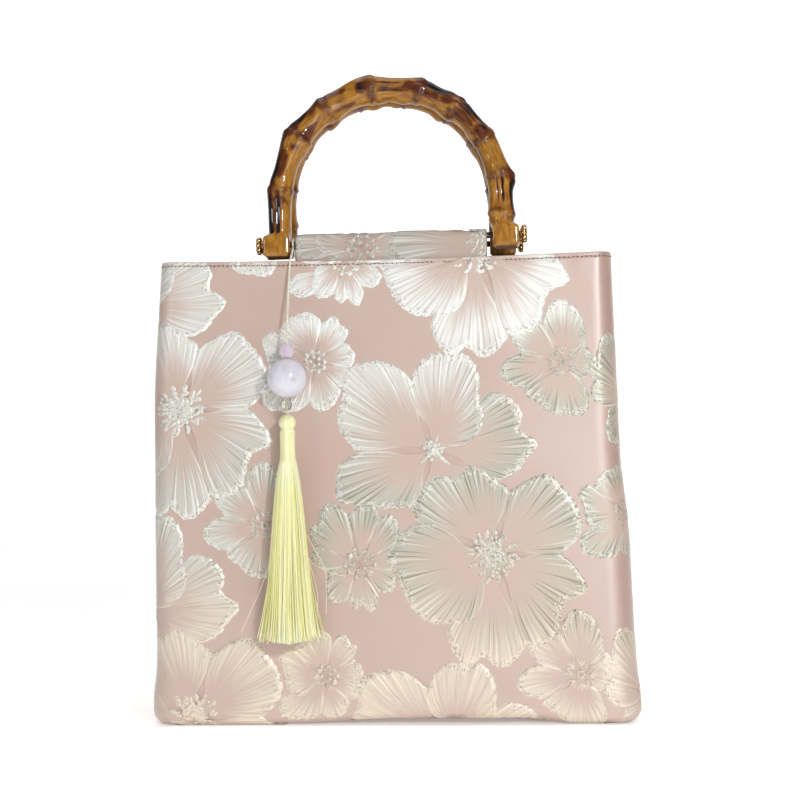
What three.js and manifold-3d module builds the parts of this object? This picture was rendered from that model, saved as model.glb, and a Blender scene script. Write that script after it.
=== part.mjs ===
// A brocade evening bag with two bamboo-root handles, a bead charm and a silk tassel.
// Millimetres. X runs across the bag, Y from the front (negative) to the back, Z up from the base.
import * as THREE from "three";
import { mergeVertices } from "three/addons/utils/BufferGeometryUtils.js";
import Module from "manifold-3d";

// Driving dimensions
const gap = 0.3;

const body = {
  height: 242.5,
  wall: 2,
  baseRound: 6,
  baseThickness: 2,
  sideDent: 4,
  frontBelly: 1.5,
  mouthSag: 1.5,
};

// The body's outer size at a few heights, between which it runs straight, and its middle's place across.
const bodySections = [
  { z: 0, centre: 0, halfWidth: 127, halfDepth: 40, corner: 13 },
  { z: 12, centre: 0, halfWidth: 127.2, halfDepth: 39.6, corner: 13 },
  { z: 27, centre: 0, halfWidth: 125.7, halfDepth: 38.6, corner: 13 },
  { z: 60, centre: -0.6, halfWidth: 125, halfDepth: 36.3, corner: 12.5 },
  { z: 102, centre: -1.6, halfWidth: 124.2, halfDepth: 33.4, corner: 12 },
  { z: 128, centre: -2.9, halfWidth: 122.9, halfDepth: 31.4, corner: 12 },
  { z: 178, centre: -4, halfWidth: 122, halfDepth: 27.4, corner: 11 },
  { z: 204, centre: -3.6, halfWidth: 121.1, halfDepth: 25.4, corner: 10.5 },
  { z: 242.5, centre: -2.8, halfWidth: 119.3, halfDepth: 22.5, corner: 10 },
];

// Heights of the wall's rows, the turns of its curled lower edge and its columns from seam to seam.
const panelRows = [12, 27, 60, 81, 102, 128, 153, 178, 204, 224, 242.5];
const baseCurl = [12, 35, 60, 90];
const panelColumns = { side: 3, corner: 5, front: 14 };

const handle = {
  rodY: 16,
  rodZ: 251.5,
  lean: 6,
  radius: 58.9,
  archRise: 23.3,
  drop: 6.7,
  stem: 5.9,
  sides: 10,
  bow: 0.4,
};

// Knuckles of the bamboo root from the left leg to the right one: the angle on the arch, or how far
// down the leg below the arch's centre.
const knuckles = [
  { angle: 174, down: 0, swell: 1.15 },
  { angle: 144.7, down: 0, swell: 1.18 },
  { angle: 124.4, down: 0, swell: 1.14 },
  { angle: 98, down: 0, swell: 1.2 },
  { angle: 72.4, down: 0, swell: 1.17 },
  { angle: 50.9, down: 0, swell: 1.15 },
  { angle: 28.7, down: 0, swell: 1.18 },
  { angle: 7.8, down: 0, swell: 1.15 },
  { angle: 0, down: 12.4, swell: 1.12 },
];

// The stem's thickness along one internode, as a share of the way and of the swell at its ends.
const internode = [
  { at: 0, swell: 1 },
  { at: 0.1, swell: 0.5 },
  { at: 0.3, swell: 0.05 },
  { at: 0.55, swell: 0 },
  { at: 0.8, swell: 0.2 },
  { at: 0.92, swell: 0.6 },
];

const endBlock = { x: 60.6, width: 14.2, depth: 14, height: 11.5, chamfer: 1.8 };
const rod = { radius: 1.6, reach: 70.4, sides: 12 };
const nut = { radius: 4.4, lobes: 8, lobe: 0.5, thickness: 3.8, bevel: 1, points: 24 };

// Each side, as its own wearer sees it: the turn about Z that faces it, where its left lies, how far its
// handle has slid along the sleeve, and how much higher the handle's right end stands.
const sides = [
  { name: "front", turn: 0, left: -1, slid: 1.4, tilt: 1.3 },
  { name: "back", turn: 180, left: 1, slid: 0.7, tilt: 0.6 },
];

const tab = { x: 1.4, width: 101.2, cloth: 1, slack: 0.3, tiltRoom: 1.15, tuck: 1, tail: 21 };

// The charm hangs down the front on one straight line from the top of its first bead.
const charm = { x: -52, y: -38.1, z: 197, slope: 3, hole: 1 };
const thread = { radius: 0.6, sides: 8, steps: 38, loopX: -50.6, loopSteps: 16, bare: 1.9 };

const beads = {
  lilac: { radius: 4.2, height: 7.2, sides: 10 },
  round: { radius: 10.3, height: 20.4, sides: 16 },
  clear: { radius: 2.7, height: 6.3, sides: 10 },
};

const tassel = {
  head: 4.4,
  neck: 4,
  neckLength: 13.5,
  skirt: 95.5,
  locks: 14,
  lockSides: 6,
  ragged: 0.035,
  coreShare: 0.84,
  sides: 16,
};

// The skirt of the tassel from the neck to the hem: half width, half depth and the locks' thickness.
const skirtSections = [
  { at: 0, halfWidth: 4.3, halfDepth: 4.1, lock: 1 },
  { at: 0.08, halfWidth: 5.2, halfDepth: 4.6, lock: 1.2 },
  { at: 0.3, halfWidth: 8, halfDepth: 5.6, lock: 1.8 },
  { at: 0.55, halfWidth: 10.8, halfDepth: 6.6, lock: 2.3 },
  { at: 0.8, halfWidth: 13.2, halfDepth: 7.3, lock: 2.7 },
  { at: 1, halfWidth: 15, halfDepth: 7.6, lock: 2.9 },
];

// The thread's way from its loop on the rod over the mouth's edge and down to the first bead.
const threadRoute = [
  { x: -50.6, y: -18.4, z: 247.9 },
  { x: -50.7, y: -20.3, z: 245.8 },
  { x: -50.9, y: -22, z: 244 },
  { x: -51.2, y: -23.3, z: 242 },
  { x: -51.5, y: -24.3, z: 239 },
  { x: -51.7, y: -26, z: 234 },
  { x: -51.8, y: -28.3, z: 227 },
  { x: -51.9, y: -30.9, z: 219 },
  { x: -52, y: -33.5, z: 211 },
  { x: -52, y: -36, z: 203.3 },
  { x: -52, y: -37.4, z: 199.2 },
];

const finishes = {
  brocade: new THREE.MeshStandardMaterial({ color: "#d3b3aa", roughness: 0.45, metalness: 0.1 }),
  bamboo: new THREE.MeshStandardMaterial({ color: "#b9803f", roughness: 0.25, metalness: 0 }),
  darkMetal: new THREE.MeshStandardMaterial({ color: "#5a4a38", roughness: 0.35, metalness: 0.9 }),
  gold: new THREE.MeshStandardMaterial({ color: "#c79a4a", roughness: 0.25, metalness: 1 }),
  cream: new THREE.MeshStandardMaterial({ color: "#e9dcc8", roughness: 0.8, metalness: 0 }),
  lilac: new THREE.MeshStandardMaterial({ color: "#b9a3c9", roughness: 0.1, metalness: 0 }),
  milky: new THREE.MeshStandardMaterial({ color: "#e3dcea", roughness: 0.1, metalness: 0 }),
  clear: new THREE.MeshStandardMaterial({ color: "#e9e4d8", roughness: 0.1, metalness: 0 }),
  silk: new THREE.MeshStandardMaterial({ color: "#ece6a2", roughness: 0.6, metalness: 0 }),
};

const wasm = await Module();
wasm.setup();

const radians = THREE.MathUtils.degToRad;
const mix = THREE.MathUtils.lerp;

// A row of a table at a place between its rows.
function rowAt(table, key, place) {
  const found = table.findIndex((row) => row[key] >= place);
  const next = Math.max(found < 0 ? table.length - 1 : found, 1);
  const [low, high] = [table[next - 1], table[next]];
  const share = THREE.MathUtils.clamp((place - low[key]) / (high[key] - low[key]), 0, 1);
  const row = {};
  for (const name of Object.keys(low)) row[name] = mix(low[name], high[name], share);
  return row;
}

function geometryOf(points, triangles) {
  const geometry = new THREE.BufferGeometry().setFromPoints(points);
  geometry.setIndex(triangles);
  geometry.computeVertexNormals();
  return geometry;
}

// A geometry as a solid that can be joined and cut, and back again.
function solidOf(geometry) {
  const bare = geometry.clone();
  bare.deleteAttribute("normal");
  bare.deleteAttribute("uv");
  const merged = mergeVertices(bare, 1e-4);
  const vertProperties = merged.attributes.position.array;
  const triVerts = new Uint32Array(merged.index.array);
  return new wasm.Manifold(new wasm.Mesh({ numProp: 3, vertProperties, triVerts }));
}

function geometryOfSolid(solid) {
  const mesh = solid.getMesh();
  const geometry = new THREE.BufferGeometry();
  geometry.setAttribute("position", new THREE.BufferAttribute(new Float32Array(mesh.vertProperties), 3));
  geometry.setIndex(new THREE.BufferAttribute(new Uint32Array(mesh.triVerts), 1));
  geometry.computeVertexNormals();
  return geometry;
}

// A closed body through rings of equal count, each going anticlockwise about the way of travel.
function loft(rings) {
  const count = rings[0].length;
  const last = (rings.length - 1) * count;
  const triangles = [];
  for (let row = 0; row < last; row += count) {
    for (let j = 0; j < count; j++) {
      const k = (j + 1) % count;
      triangles.push(row + j, row + k, row + count + k);
      triangles.push(row + j, row + count + k, row + count + j);
    }
  }
  for (let j = 1; j + 1 < count; j++) {
    triangles.push(0, j + 1, j);
    triangles.push(last, last + j, last + j + 1);
  }
  return geometryOf(rings.flat(), triangles);
}

// A wall between two grids of points with the same rows and columns.
function wallBetween(outer, inner) {
  const [rows, columns] = [outer.length, outer[0].length];
  const triangles = [];
  const out = (row, column) => row * columns + column;
  const within = (row, column) => (rows + row) * columns + column;
  const quad = (a, b, c, d) => triangles.push(a, b, c, a, c, d);
  const [top, end] = [rows - 1, columns - 1];
  for (let i = 0; i < top; i++) {
    for (let j = 0; j < end; j++) {
      quad(out(i, j), out(i, j + 1), out(i + 1, j + 1), out(i + 1, j));
      quad(within(i, j), within(i + 1, j), within(i + 1, j + 1), within(i, j + 1));
    }
    quad(out(i, 0), out(i + 1, 0), within(i + 1, 0), within(i, 0));
    quad(out(i, end), within(i, end), within(i + 1, end), out(i + 1, end));
  }
  for (let j = 0; j < end; j++) {
    quad(out(0, j), within(0, j), within(0, j + 1), out(0, j + 1));
    quad(out(top, j), out(top, j + 1), within(top, j + 1), within(top, j));
  }
  return geometryOf([...outer.flat(), ...inner.flat()], triangles);
}

// The front half of the body's outline at a height, pulled in by an inset, from seam to seam.
function halfOutline(z, inset) {
  const { halfWidth, halfDepth, corner } = rowAt(bodySections, "z", z);
  const round = corner - inset;
  const flatX = halfWidth - corner;
  const flatY = halfDepth - corner;
  const dent = body.sideDent * (z / body.height);
  const belly = body.frontBelly * Math.sin((Math.PI * z) / body.height);
  const left = [];
  for (let i = 0; i < panelColumns.side; i++) {
    const y = mix(-gap / 2, -flatY, i / panelColumns.side);
    const x = inset - halfWidth + (dent / 2) * (1 + Math.cos((Math.PI * y) / flatY));
    left.push({ x, y });
  }
  for (let i = 0; i < panelColumns.corner; i++) {
    const turn = (Math.PI / 2) * (i / panelColumns.corner);
    left.push({ x: -flatX - round * Math.cos(turn), y: -flatY - round * Math.sin(turn) });
  }
  for (let i = 0; i < panelColumns.front / 2; i++) {
    const x = mix(-flatX, 0, i / (panelColumns.front / 2));
    left.push({ x, y: inset - halfDepth - belly * (1 - (x / flatX) ** 2) });
  }
  const right = left.map(({ x, y }) => ({ x: -x, y })).reverse();
  return [...left, { x: 0, y: inset - halfDepth - belly }, ...right];
}

// One row of wall points: the body stands a little to one side, and the mouth's edge sags.
function wallRow(z, inset, sectionZ, left) {
  const { centre, halfWidth } = rowAt(bodySections, "z", sectionZ);
  const sag = body.mouthSag * (z / body.height) ** 4;
  const outline = halfOutline(sectionZ, inset);
  return outline.map(({ x, y }) => {
    return new THREE.Vector3(x - left * centre, y, z - sag * (1 - (x / halfWidth) ** 2));
  });
}

// Half of the body, with its lower edge curled under to meet the base.
function panelGeometry(left) {
  const outer = [];
  const inner = [];
  const round = body.baseRound;
  const innerRound = round - body.wall;
  for (const degrees of baseCurl) {
    const [up, along] = [Math.cos(radians(degrees)), Math.sin(radians(degrees))];
    outer.push(wallRow(round - round * up, round - round * along, round, left));
    inner.push(wallRow(round - innerRound * up, round - innerRound * along, round, left));
  }
  for (const z of panelRows) {
    outer.push(wallRow(z, 0, z, left));
    inner.push(wallRow(z, body.wall, z, left));
  }
  return wallBetween(outer, inner);
}

function baseGeometry() {
  const innerRound = body.baseRound - body.wall;
  const inset = body.baseRound - innerRound * Math.sin(radians(baseCurl[0])) + gap;
  const front = halfOutline(body.baseRound, inset);
  const outline = [...front, ...front.map(({ x, y }) => ({ x: -x, y: -y }))];
  const shape = new THREE.Shape(outline.map(({ x, y }) => new THREE.Vector2(x, y)));
  return new THREE.ExtrudeGeometry(shape, { depth: body.baseThickness, bevelEnabled: false });
}

// A knuckle's place in the handle's own plane, measured from the rod's axis.
function knucklePlace({ angle, down }) {
  const turn = radians(angle);
  const height = handle.archRise + handle.radius * Math.sin(turn) - down;
  return new THREE.Vector3(handle.radius * Math.cos(turn), 0, height);
}

// The bamboo's centres and radii along its way: nearly straight internodes between swollen knuckles.
function bambooStations() {
  const down = handle.archRise + handle.drop - endBlock.chamfer;
  const stops = [{ angle: 180, down, swell: 1 }, ...knuckles, { angle: 0, down, swell: 1 }];
  const stations = [];
  for (let i = 0; i + 1 < stops.length; i++) {
    const [from, to] = [knucklePlace(stops[i]), knucklePlace(stops[i + 1])];
    const halfTurn = radians(stops[i].angle - stops[i + 1].angle) / 2;
    const bulge = handle.bow * handle.radius * (1 - Math.cos(halfTurn));
    const out = from.clone().add(to);
    out.z -= 2 * handle.archRise;
    out.normalize();
    for (const { at, swell } of internode) {
      const near = stops[at > 0.5 ? i + 1 : i].swell;
      const place = from.clone().lerp(to, at).addScaledVector(out, 4 * bulge * at * (1 - at));
      stations.push({ place, radius: handle.stem * (1 + (near - 1) * swell) });
    }
  }
  stations.push({ place: knucklePlace(stops[stops.length - 1]), radius: handle.stem });
  return stations;
}

function bambooGeometry() {
  const stations = bambooStations();
  const across = new THREE.Vector3(0, 1, 0);
  const rings = stations.map(({ place, radius }, i) => {
    const before = stations[Math.max(i - 1, 0)].place;
    const after = stations[Math.min(i + 1, stations.length - 1)].place;
    const ahead = after.clone().sub(before).normalize();
    const side = ahead.clone().cross(across);
    return Array.from({ length: handle.sides }, (_, j) => {
      const turn = (2 * Math.PI * j) / handle.sides;
      const point = place.clone().addScaledVector(side, radius * Math.sin(turn));
      return point.addScaledVector(across, radius * Math.cos(turn));
    });
  });
  return loft(rings);
}

// A squared end of the handle with all its edges chamfered.
function endBlockGeometry(x) {
  const { width, depth, height, chamfer } = endBlock;
  const [halfX, halfY] = [width / 2, depth / 2];
  const corners = [
    [halfX, chamfer - halfY],
    [halfX, halfY - chamfer],
    [halfX - chamfer, halfY],
    [chamfer - halfX, halfY],
    [-halfX, halfY - chamfer],
    [-halfX, chamfer - halfY],
    [chamfer - halfX, -halfY],
    [halfX - chamfer, -halfY],
  ];
  const geometry = new THREE.ExtrudeGeometry(new THREE.Shape(corners.map((c) => new THREE.Vector2(...c))), {
    depth: height - 2 * chamfer,
    bevelThickness: chamfer,
    bevelSize: chamfer,
    bevelOffset: -chamfer,
    bevelSegments: 1,
  });
  return geometry.translate(x, 0, chamfer - handle.drop);
}

function rodGeometry(radius, reach) {
  return new THREE.CylinderGeometry(radius, radius, 2 * reach, rod.sides).rotateZ(Math.PI / 2);
}

// A handle: the bent stem, its two squared ends and the hole for the rod through both.
function handleGeometry() {
  let solid = solidOf(bambooGeometry());
  for (const x of [-endBlock.x, endBlock.x]) solid = solid.add(solidOf(endBlockGeometry(x)));
  const hole = rodGeometry(rod.radius + gap, endBlock.x + endBlock.width);
  return geometryOfSolid(solid.subtract(solidOf(hole)));
}

// A lobed cap nut over the rod's end, beside the handle's end on the side that it faces.
function nutGeometry(facing) {
  const outline = Array.from({ length: nut.points }, (_, i) => {
    const turn = (2 * Math.PI * i) / nut.points;
    const radius = nut.radius + nut.lobe * Math.cos(nut.lobes * turn);
    return new THREE.Vector2(radius * Math.cos(turn), radius * Math.sin(turn));
  });
  const geometry = new THREE.ExtrudeGeometry(new THREE.Shape(outline), {
    depth: nut.thickness - 2 * nut.bevel,
    bevelThickness: nut.bevel,
    bevelSize: nut.bevel,
    bevelOffset: -nut.bevel,
    bevelSegments: 2,
  });
  const start = endBlock.x + endBlock.width / 2 + gap;
  const cap = solidOf(geometry.translate(0, 0, start + nut.bevel).rotateY(facing * (Math.PI / 2)));
  return geometryOfSolid(cap.subtract(solidOf(rodGeometry(rod.radius + gap, rod.reach + gap))));
}

// The sleeve's section across the rod: a loop over it, and a sewn tail down the inside of the wall.
function tabGeometry() {
  const room = rod.radius + tab.slack;
  const round = room + tab.cloth;
  const [y, top, bottom] = [-handle.rodY, handle.rodZ + tab.tiltRoom, handle.rodZ - tab.tiltRoom];
  const foot = body.height - tab.tail;
  const wallFace = (z) => body.wall + gap - rowAt(bodySections, "z", z).halfDepth;
  const shape = new THREE.Shape();
  shape.absarc(y, top, round, 0, Math.PI, false);
  shape.lineTo(y - round, bottom);
  shape.lineTo(wallFace(body.height), body.height);
  shape.lineTo(wallFace(foot), foot);
  shape.lineTo(wallFace(foot) + 2 * tab.cloth, foot);
  shape.lineTo(wallFace(body.height) + 2 * tab.cloth, body.height);
  shape.lineTo(y + round, bottom - tab.tuck);
  shape.closePath();
  const loop = new THREE.Path();
  loop.absarc(y, top, room, 0, Math.PI, false);
  loop.absarc(y, bottom, room, Math.PI, 2 * Math.PI, false);
  loop.closePath();
  shape.holes.push(loop);
  const geometry = new THREE.ExtrudeGeometry(shape, {
    depth: tab.width,
    bevelEnabled: false,
    curveSegments: 5,
  });
  const along = new THREE.Vector3(1, 0, 0);
  const turned = new THREE.Matrix4().makeBasis(new THREE.Vector3(0, 1, 0), new THREE.Vector3(0, 0, 1), along);
  return geometry.applyMatrix4(turned).translate(tab.x - tab.width / 2, 0, 0);
}

// A drilled bead about Z with its top at the origin, from half of its section's outline.
function beadGeometry(profile, count) {
  const closed = [...profile, profile[0]];
  const points = closed.map(({ r, z }) => new THREE.Vector2(r, z));
  return new THREE.LatheGeometry(points, count).rotateX(Math.PI / 2);
}

function facetedBeadGeometry({ radius, height, sides: count }) {
  const profile = [
    { r: charm.hole, z: -height },
    { r: radius * 0.62, z: -height },
    { r: radius, z: -height * 0.62 },
    { r: radius, z: -height * 0.38 },
    { r: radius * 0.62, z: 0 },
    { r: charm.hole, z: 0 },
  ];
  return beadGeometry(profile, count);
}

function roundBeadGeometry({ radius, height, sides: count }) {
  const steps = count / 2;
  const start = Math.asin(charm.hole / radius);
  const profile = Array.from({ length: steps + 1 }, (_, i) => {
    const turn = mix(start, Math.PI - start, i / steps);
    return { r: radius * Math.sin(turn), z: (-height / 2) * (1 + Math.cos(turn)) };
  });
  return beadGeometry(profile, count);
}

// The tassel's head and neck, about Z with the head's top at the origin.
function tasselHeadGeometry() {
  const { head, neck, neckLength } = tassel;
  const foot = -2 * head - neckLength;
  const points = [new THREE.Vector2(0, foot), new THREE.Vector2(neck, foot)];
  const steps = 8;
  const start = Math.asin((neck * 0.8) / head);
  points.push(new THREE.Vector2(neck, -2 * head - 0.5));
  for (let i = 0; i < steps; i++) {
    const turn = mix(start, Math.PI, i / steps);
    points.push(new THREE.Vector2(head * Math.sin(turn), -head * (1 + Math.cos(turn))));
  }
  points.push(new THREE.Vector2(0, 0));
  return new THREE.LatheGeometry(points, tassel.sides).rotateX(Math.PI / 2);
}

// A ring of points on an ellipse at a height.
function ellipseRing(x, y, z, halfWidth, halfDepth, count) {
  return Array.from({ length: count }, (_, j) => {
    const turn = (2 * Math.PI * j) / count;
    return new THREE.Vector3(x + halfWidth * Math.cos(turn), y + halfDepth * Math.sin(turn), z);
  });
}

// The tassel: locks of silk fused to a core, a neck and a round head.
function tasselGeometry() {
  const waist = -2 * tassel.head - tassel.neckLength + 1;
  const upward = [...skirtSections].reverse();
  const core = upward.map(({ at, halfWidth, halfDepth }) => {
    const share = tassel.coreShare;
    const z = waist - at * tassel.skirt * (1 - tassel.ragged);
    return ellipseRing(0, 0, z, halfWidth * share, halfDepth * share, tassel.sides);
  });
  let solid = solidOf(tasselHeadGeometry()).add(solidOf(loft(core)));
  for (let i = 0; i < tassel.locks; i++) {
    const turn = (2 * Math.PI * (i + 0.5)) / tassel.locks;
    const length = tassel.skirt * (1 - tassel.ragged * ((i * 3) % 5) * 0.25);
    const rings = upward.map(({ at, halfWidth, halfDepth, lock }) => {
      const x = (halfWidth - lock) * Math.cos(turn);
      const y = (halfDepth - lock) * Math.sin(turn);
      return ellipseRing(x, y, waist - at * length, lock, lock, tassel.lockSides);
    });
    solid = solid.add(solidOf(loft(rings)));
  }
  return geometryOfSolid(solid);
}

// The thread runs down the charm's line, through the beads, to the tassel's head.
function threadGeometry(charmLength) {
  const [down, out] = [Math.cos(radians(charm.slope)), Math.sin(radians(charm.slope))];
  const stops = 6;
  const inBeads = Array.from({ length: stops + 1 }, (_, i) => {
    const far = (charmLength * i) / stops;
    return { x: charm.x, y: charm.y - far * out, z: charm.z - far * down };
  });
  const points = [...threadRoute, ...inBeads].map(({ x, y, z }) => new THREE.Vector3(x, y, z));
  const section = ellipseRing(0, 0, 0, thread.radius, thread.radius, thread.sides);
  return new THREE.ExtrudeGeometry(new THREE.Shape(section.map(({ x, y }) => new THREE.Vector2(x, y))), {
    steps: thread.steps,
    bevelEnabled: false,
    extrudePath: new THREE.CatmullRomCurve3(points),
  });
}

function threadLoopGeometry() {
  const radius = rod.radius + gap + thread.radius;
  const loop = new THREE.TorusGeometry(radius, thread.radius, thread.sides, thread.loopSteps);
  return loop.rotateY(Math.PI / 2);
}

function addPiece(parent, name, geometry, material) {
  const mesh = new THREE.Mesh(geometry, material);
  mesh.name = name;
  parent.add(mesh);
  return mesh;
}

const bag = new THREE.Group();
addPiece(bag, "base_panel", baseGeometry(), finishes.brocade);

// Each half of the bag: its panel, its sleeve, and the handle that swings on its rod.
for (const { name, turn, left, slid, tilt } of sides) {
  const half = new THREE.Group();
  half.rotation.z = radians(turn);
  bag.add(half);
  addPiece(half, `${name}_panel`, panelGeometry(left), finishes.brocade);
  addPiece(half, `${name}_tab`, tabGeometry(), finishes.brocade);

  const swing = new THREE.Group();
  swing.position.set(slid, -handle.rodY, handle.rodZ);
  swing.rotation.set(radians(-handle.lean), radians(-tilt), 0, "YXZ");
  half.add(swing);
  addPiece(swing, `${name}_handle`, handleGeometry(), finishes.bamboo);
  addPiece(swing, `${name}_rod`, rodGeometry(rod.radius, rod.reach), finishes.darkMetal);
  addPiece(swing, `${name}_nut_left`, nutGeometry(left), finishes.gold);
  addPiece(swing, `${name}_nut_right`, nutGeometry(-left), finishes.gold);
}

// The charm: beads and tassel below one another on the thread.
const hanging = new THREE.Group();
hanging.position.set(charm.x, charm.y, charm.z);
hanging.rotation.x = radians(-charm.slope);
bag.add(hanging);

const lilacBead = addPiece(hanging, "lilac_bead", facetedBeadGeometry(beads.lilac), finishes.lilac);
const roundBead = addPiece(hanging, "round_bead", roundBeadGeometry(beads.round), finishes.milky);
const clearBead = addPiece(hanging, "clear_bead", facetedBeadGeometry(beads.clear), finishes.clear);
const silkTassel = addPiece(hanging, "tassel", tasselGeometry(), finishes.silk);
roundBead.position.z = lilacBead.position.z - beads.lilac.height - gap;
clearBead.position.z = roundBead.position.z - beads.round.height - gap;
silkTassel.position.z = clearBead.position.z - beads.clear.height - thread.bare;

addPiece(bag, "thread", threadGeometry(-silkTassel.position.z - gap), finishes.cream);
const threadLoop = addPiece(bag, "thread_loop", threadLoopGeometry(), finishes.cream);
const loopRise = (thread.loopX - sides[0].slid) * Math.tan(radians(sides[0].tilt));
threadLoop.position.set(thread.loopX, -handle.rodY, handle.rodZ + loopRise);

export default bag;
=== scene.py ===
import math

import bpy
import numpy as np
from mathutils import Matrix, Vector


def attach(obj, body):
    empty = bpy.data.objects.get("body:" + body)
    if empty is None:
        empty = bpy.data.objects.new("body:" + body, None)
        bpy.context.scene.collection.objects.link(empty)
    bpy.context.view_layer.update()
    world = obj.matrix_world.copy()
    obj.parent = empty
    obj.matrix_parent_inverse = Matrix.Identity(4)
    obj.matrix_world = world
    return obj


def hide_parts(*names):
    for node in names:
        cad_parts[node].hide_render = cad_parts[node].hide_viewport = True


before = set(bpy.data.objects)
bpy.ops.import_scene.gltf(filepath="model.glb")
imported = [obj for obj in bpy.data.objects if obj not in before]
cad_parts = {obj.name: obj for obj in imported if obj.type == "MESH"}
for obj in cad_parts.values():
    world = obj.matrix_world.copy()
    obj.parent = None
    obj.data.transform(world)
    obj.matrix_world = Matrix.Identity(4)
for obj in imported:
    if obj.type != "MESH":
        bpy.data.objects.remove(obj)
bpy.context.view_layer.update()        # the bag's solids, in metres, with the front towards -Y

mm = 0.001
tau = 2 * math.pi
rng = np.random.default_rng(11)
print("loaded", len(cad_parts), "solids")

# Camera, a little to the right of the front and level with the middle of the bag
camera = {
    "distance": 900,
    "azimuth": 4.8,
    "height": 168,
    "aimRight": 3.3,
    "aimHeight": 166.9,
    "roll": 1.05,
    "lens": 75.33,
}


def addCamera():
    turn = math.radians(camera["azimuth"])
    right = Vector((math.cos(turn), math.sin(turn), 0))
    back = Vector((math.sin(turn), -math.cos(turn), 0))
    eye = (back * camera["distance"] + Vector((0, 0, camera["height"]))) * mm
    aim = (right * camera["aimRight"] + Vector((0, 0, camera["aimHeight"]))) * mm
    data = bpy.data.cameras.new("camera")
    data.lens = camera["lens"]
    data.clip_start, data.clip_end = 0.01, 30
    seat = bpy.data.objects.new("camera", data)
    bpy.context.scene.collection.objects.link(seat)
    look = (aim - eye).to_track_quat("-Z", "Y").to_matrix().to_4x4()
    roll = Matrix.Rotation(math.radians(-camera["roll"]), 4, "Z")
    seat.matrix_world = Matrix.Translation(eye) @ look @ roll
    bpy.context.scene.camera = seat


addCamera()


# Mesh helpers: points are in millimetres, meshes in metres
def smoothLine(at, places, heights):
    places, heights = np.array(places, float), np.array(heights, float)
    slopes = np.gradient(heights, places)
    low = np.clip(np.searchsorted(places, at) - 1, 0, len(places) - 2)
    step = places[low + 1] - places[low]
    rise = heights[low + 1] - heights[low]
    share = np.clip((at - places[low]) / step, 0, 1)
    start = slopes[low] * step - rise
    end = rise - slopes[low + 1] * step
    return heights[low] + rise * share + share * (1 - share) * (start * (1 - share) + end * share)


def easy(value):
    value = np.clip(value, 0, 1)
    return value * value * (3 - 2 * value)


def wayAlong(path):
    return np.concatenate([[0], np.cumsum(np.linalg.norm(np.diff(path, axis=0), axis=1))])


def pickOnly(piece):
    bpy.ops.object.select_all(action="DESELECT")
    piece.select_set(True)
    bpy.context.view_layer.objects.active = piece


def joinGrids(name, grids, *materials, welded=False):
    # one mesh from many grids; each looks outwards where its columns run right and its rows run up
    points, maps, quads, slots = [], [], [], []
    keys = sorted({key for grid in grids for key in grid.get("values", {})})
    values = {key: [] for key in keys}
    start = 0
    for grid in grids:
        rows, columns = grid["points"].shape[:2]
        index = start + np.arange(rows * columns).reshape(rows, columns)
        start += rows * columns
        if grid.get("wrap"):
            index = np.hstack([index, index[:, :1]])
        corners = [index[:-1, :-1], index[:-1, 1:], index[1:, 1:], index[1:, :-1]]
        quads.append(np.stack(corners, -1).reshape(-1, 4))
        slots.append(np.full(len(quads[-1]), grid.get("slot", 0)))
        points.append(grid["points"].reshape(-1, 3))
        chart = grid.get("map", np.zeros((rows, columns, 2)))
        maps.append(chart.reshape(-1, 2))
        for key in keys:
            found = grid.get("values", {}).get(key, 0.0)
            values[key].append(np.broadcast_to(found, (rows, columns)).reshape(-1))
    points, maps = np.concatenate(points) * mm, np.concatenate(maps)
    quads, slots = np.concatenate(quads), np.concatenate(slots)
    # faces squeezed flat at a cut edge are left out
    across = points[quads[:, 2]] - points[quads[:, 0]]
    athwart = points[quads[:, 3]] - points[quads[:, 1]]
    kept = np.linalg.norm(np.cross(across, athwart), axis=1) > 2e-10
    quads, slots = quads[kept], slots[kept]
    used, flat = np.unique(quads, return_inverse=True)
    quads = flat.reshape(-1, 4)
    mesh = bpy.data.meshes.new(name)
    mesh.from_pydata(points[used].tolist(), [], quads.tolist())
    layer = mesh.uv_layers.new(name="chart")
    layer.data.foreach_set("uv", maps[used][quads.reshape(-1)].astype(np.float32).reshape(-1))
    for key in keys:
        mark = mesh.attributes.new(key, "FLOAT", "POINT")
        mark.data.foreach_set("value", np.concatenate(values[key])[used].astype(np.float32))
    for material in materials:
        mesh.materials.append(material)
    mesh.polygons.foreach_set("use_smooth", np.ones(len(quads), bool))
    mesh.polygons.foreach_set("material_index", slots.astype(np.int32))
    mesh.update()
    piece = bpy.data.objects.new(name, mesh)
    bpy.context.scene.collection.objects.link(piece)
    if welded:
        pickOnly(piece)
        bpy.ops.object.mode_set(mode="EDIT")
        bpy.ops.mesh.select_all(action="SELECT")
        bpy.ops.mesh.remove_doubles(threshold=0.000002)
        bpy.ops.object.mode_set(mode="OBJECT")
    print(name, "has", 2 * len(quads), "triangles")
    return piece


def finishPiece(piece, body, slot, *replaced):
    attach(piece, body)
    if replaced:
        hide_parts(*replaced)
    return piece


def tubeGrid(path, radius, sides, up=(0.0, 1.0, 0.0)):
    # radius is one value, one per point, or one per point and side
    ahead = np.gradient(path, axis=0)
    ahead /= np.linalg.norm(ahead, axis=1, keepdims=True)
    first = np.cross(np.array(up), ahead)
    first /= np.linalg.norm(first, axis=1, keepdims=True)
    second = np.cross(ahead, first)
    turn = np.arange(sides) * tau / sides
    reach = np.broadcast_to(np.asarray(radius, float).reshape(-1, 1) if np.ndim(radius) == 1 else radius,
                            (len(path), sides))
    ring = first[:, None] * np.cos(turn)[:, None] + second[:, None] * np.sin(turn)[:, None]
    points = path[:, None] + ring * reach[..., None]
    far = wayAlong(path)
    chart = np.stack(np.broadcast_arrays(turn[None] / tau, far[:, None] * 0.01), -1)
    return {"points": points, "map": chart, "wrap": True}


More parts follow.
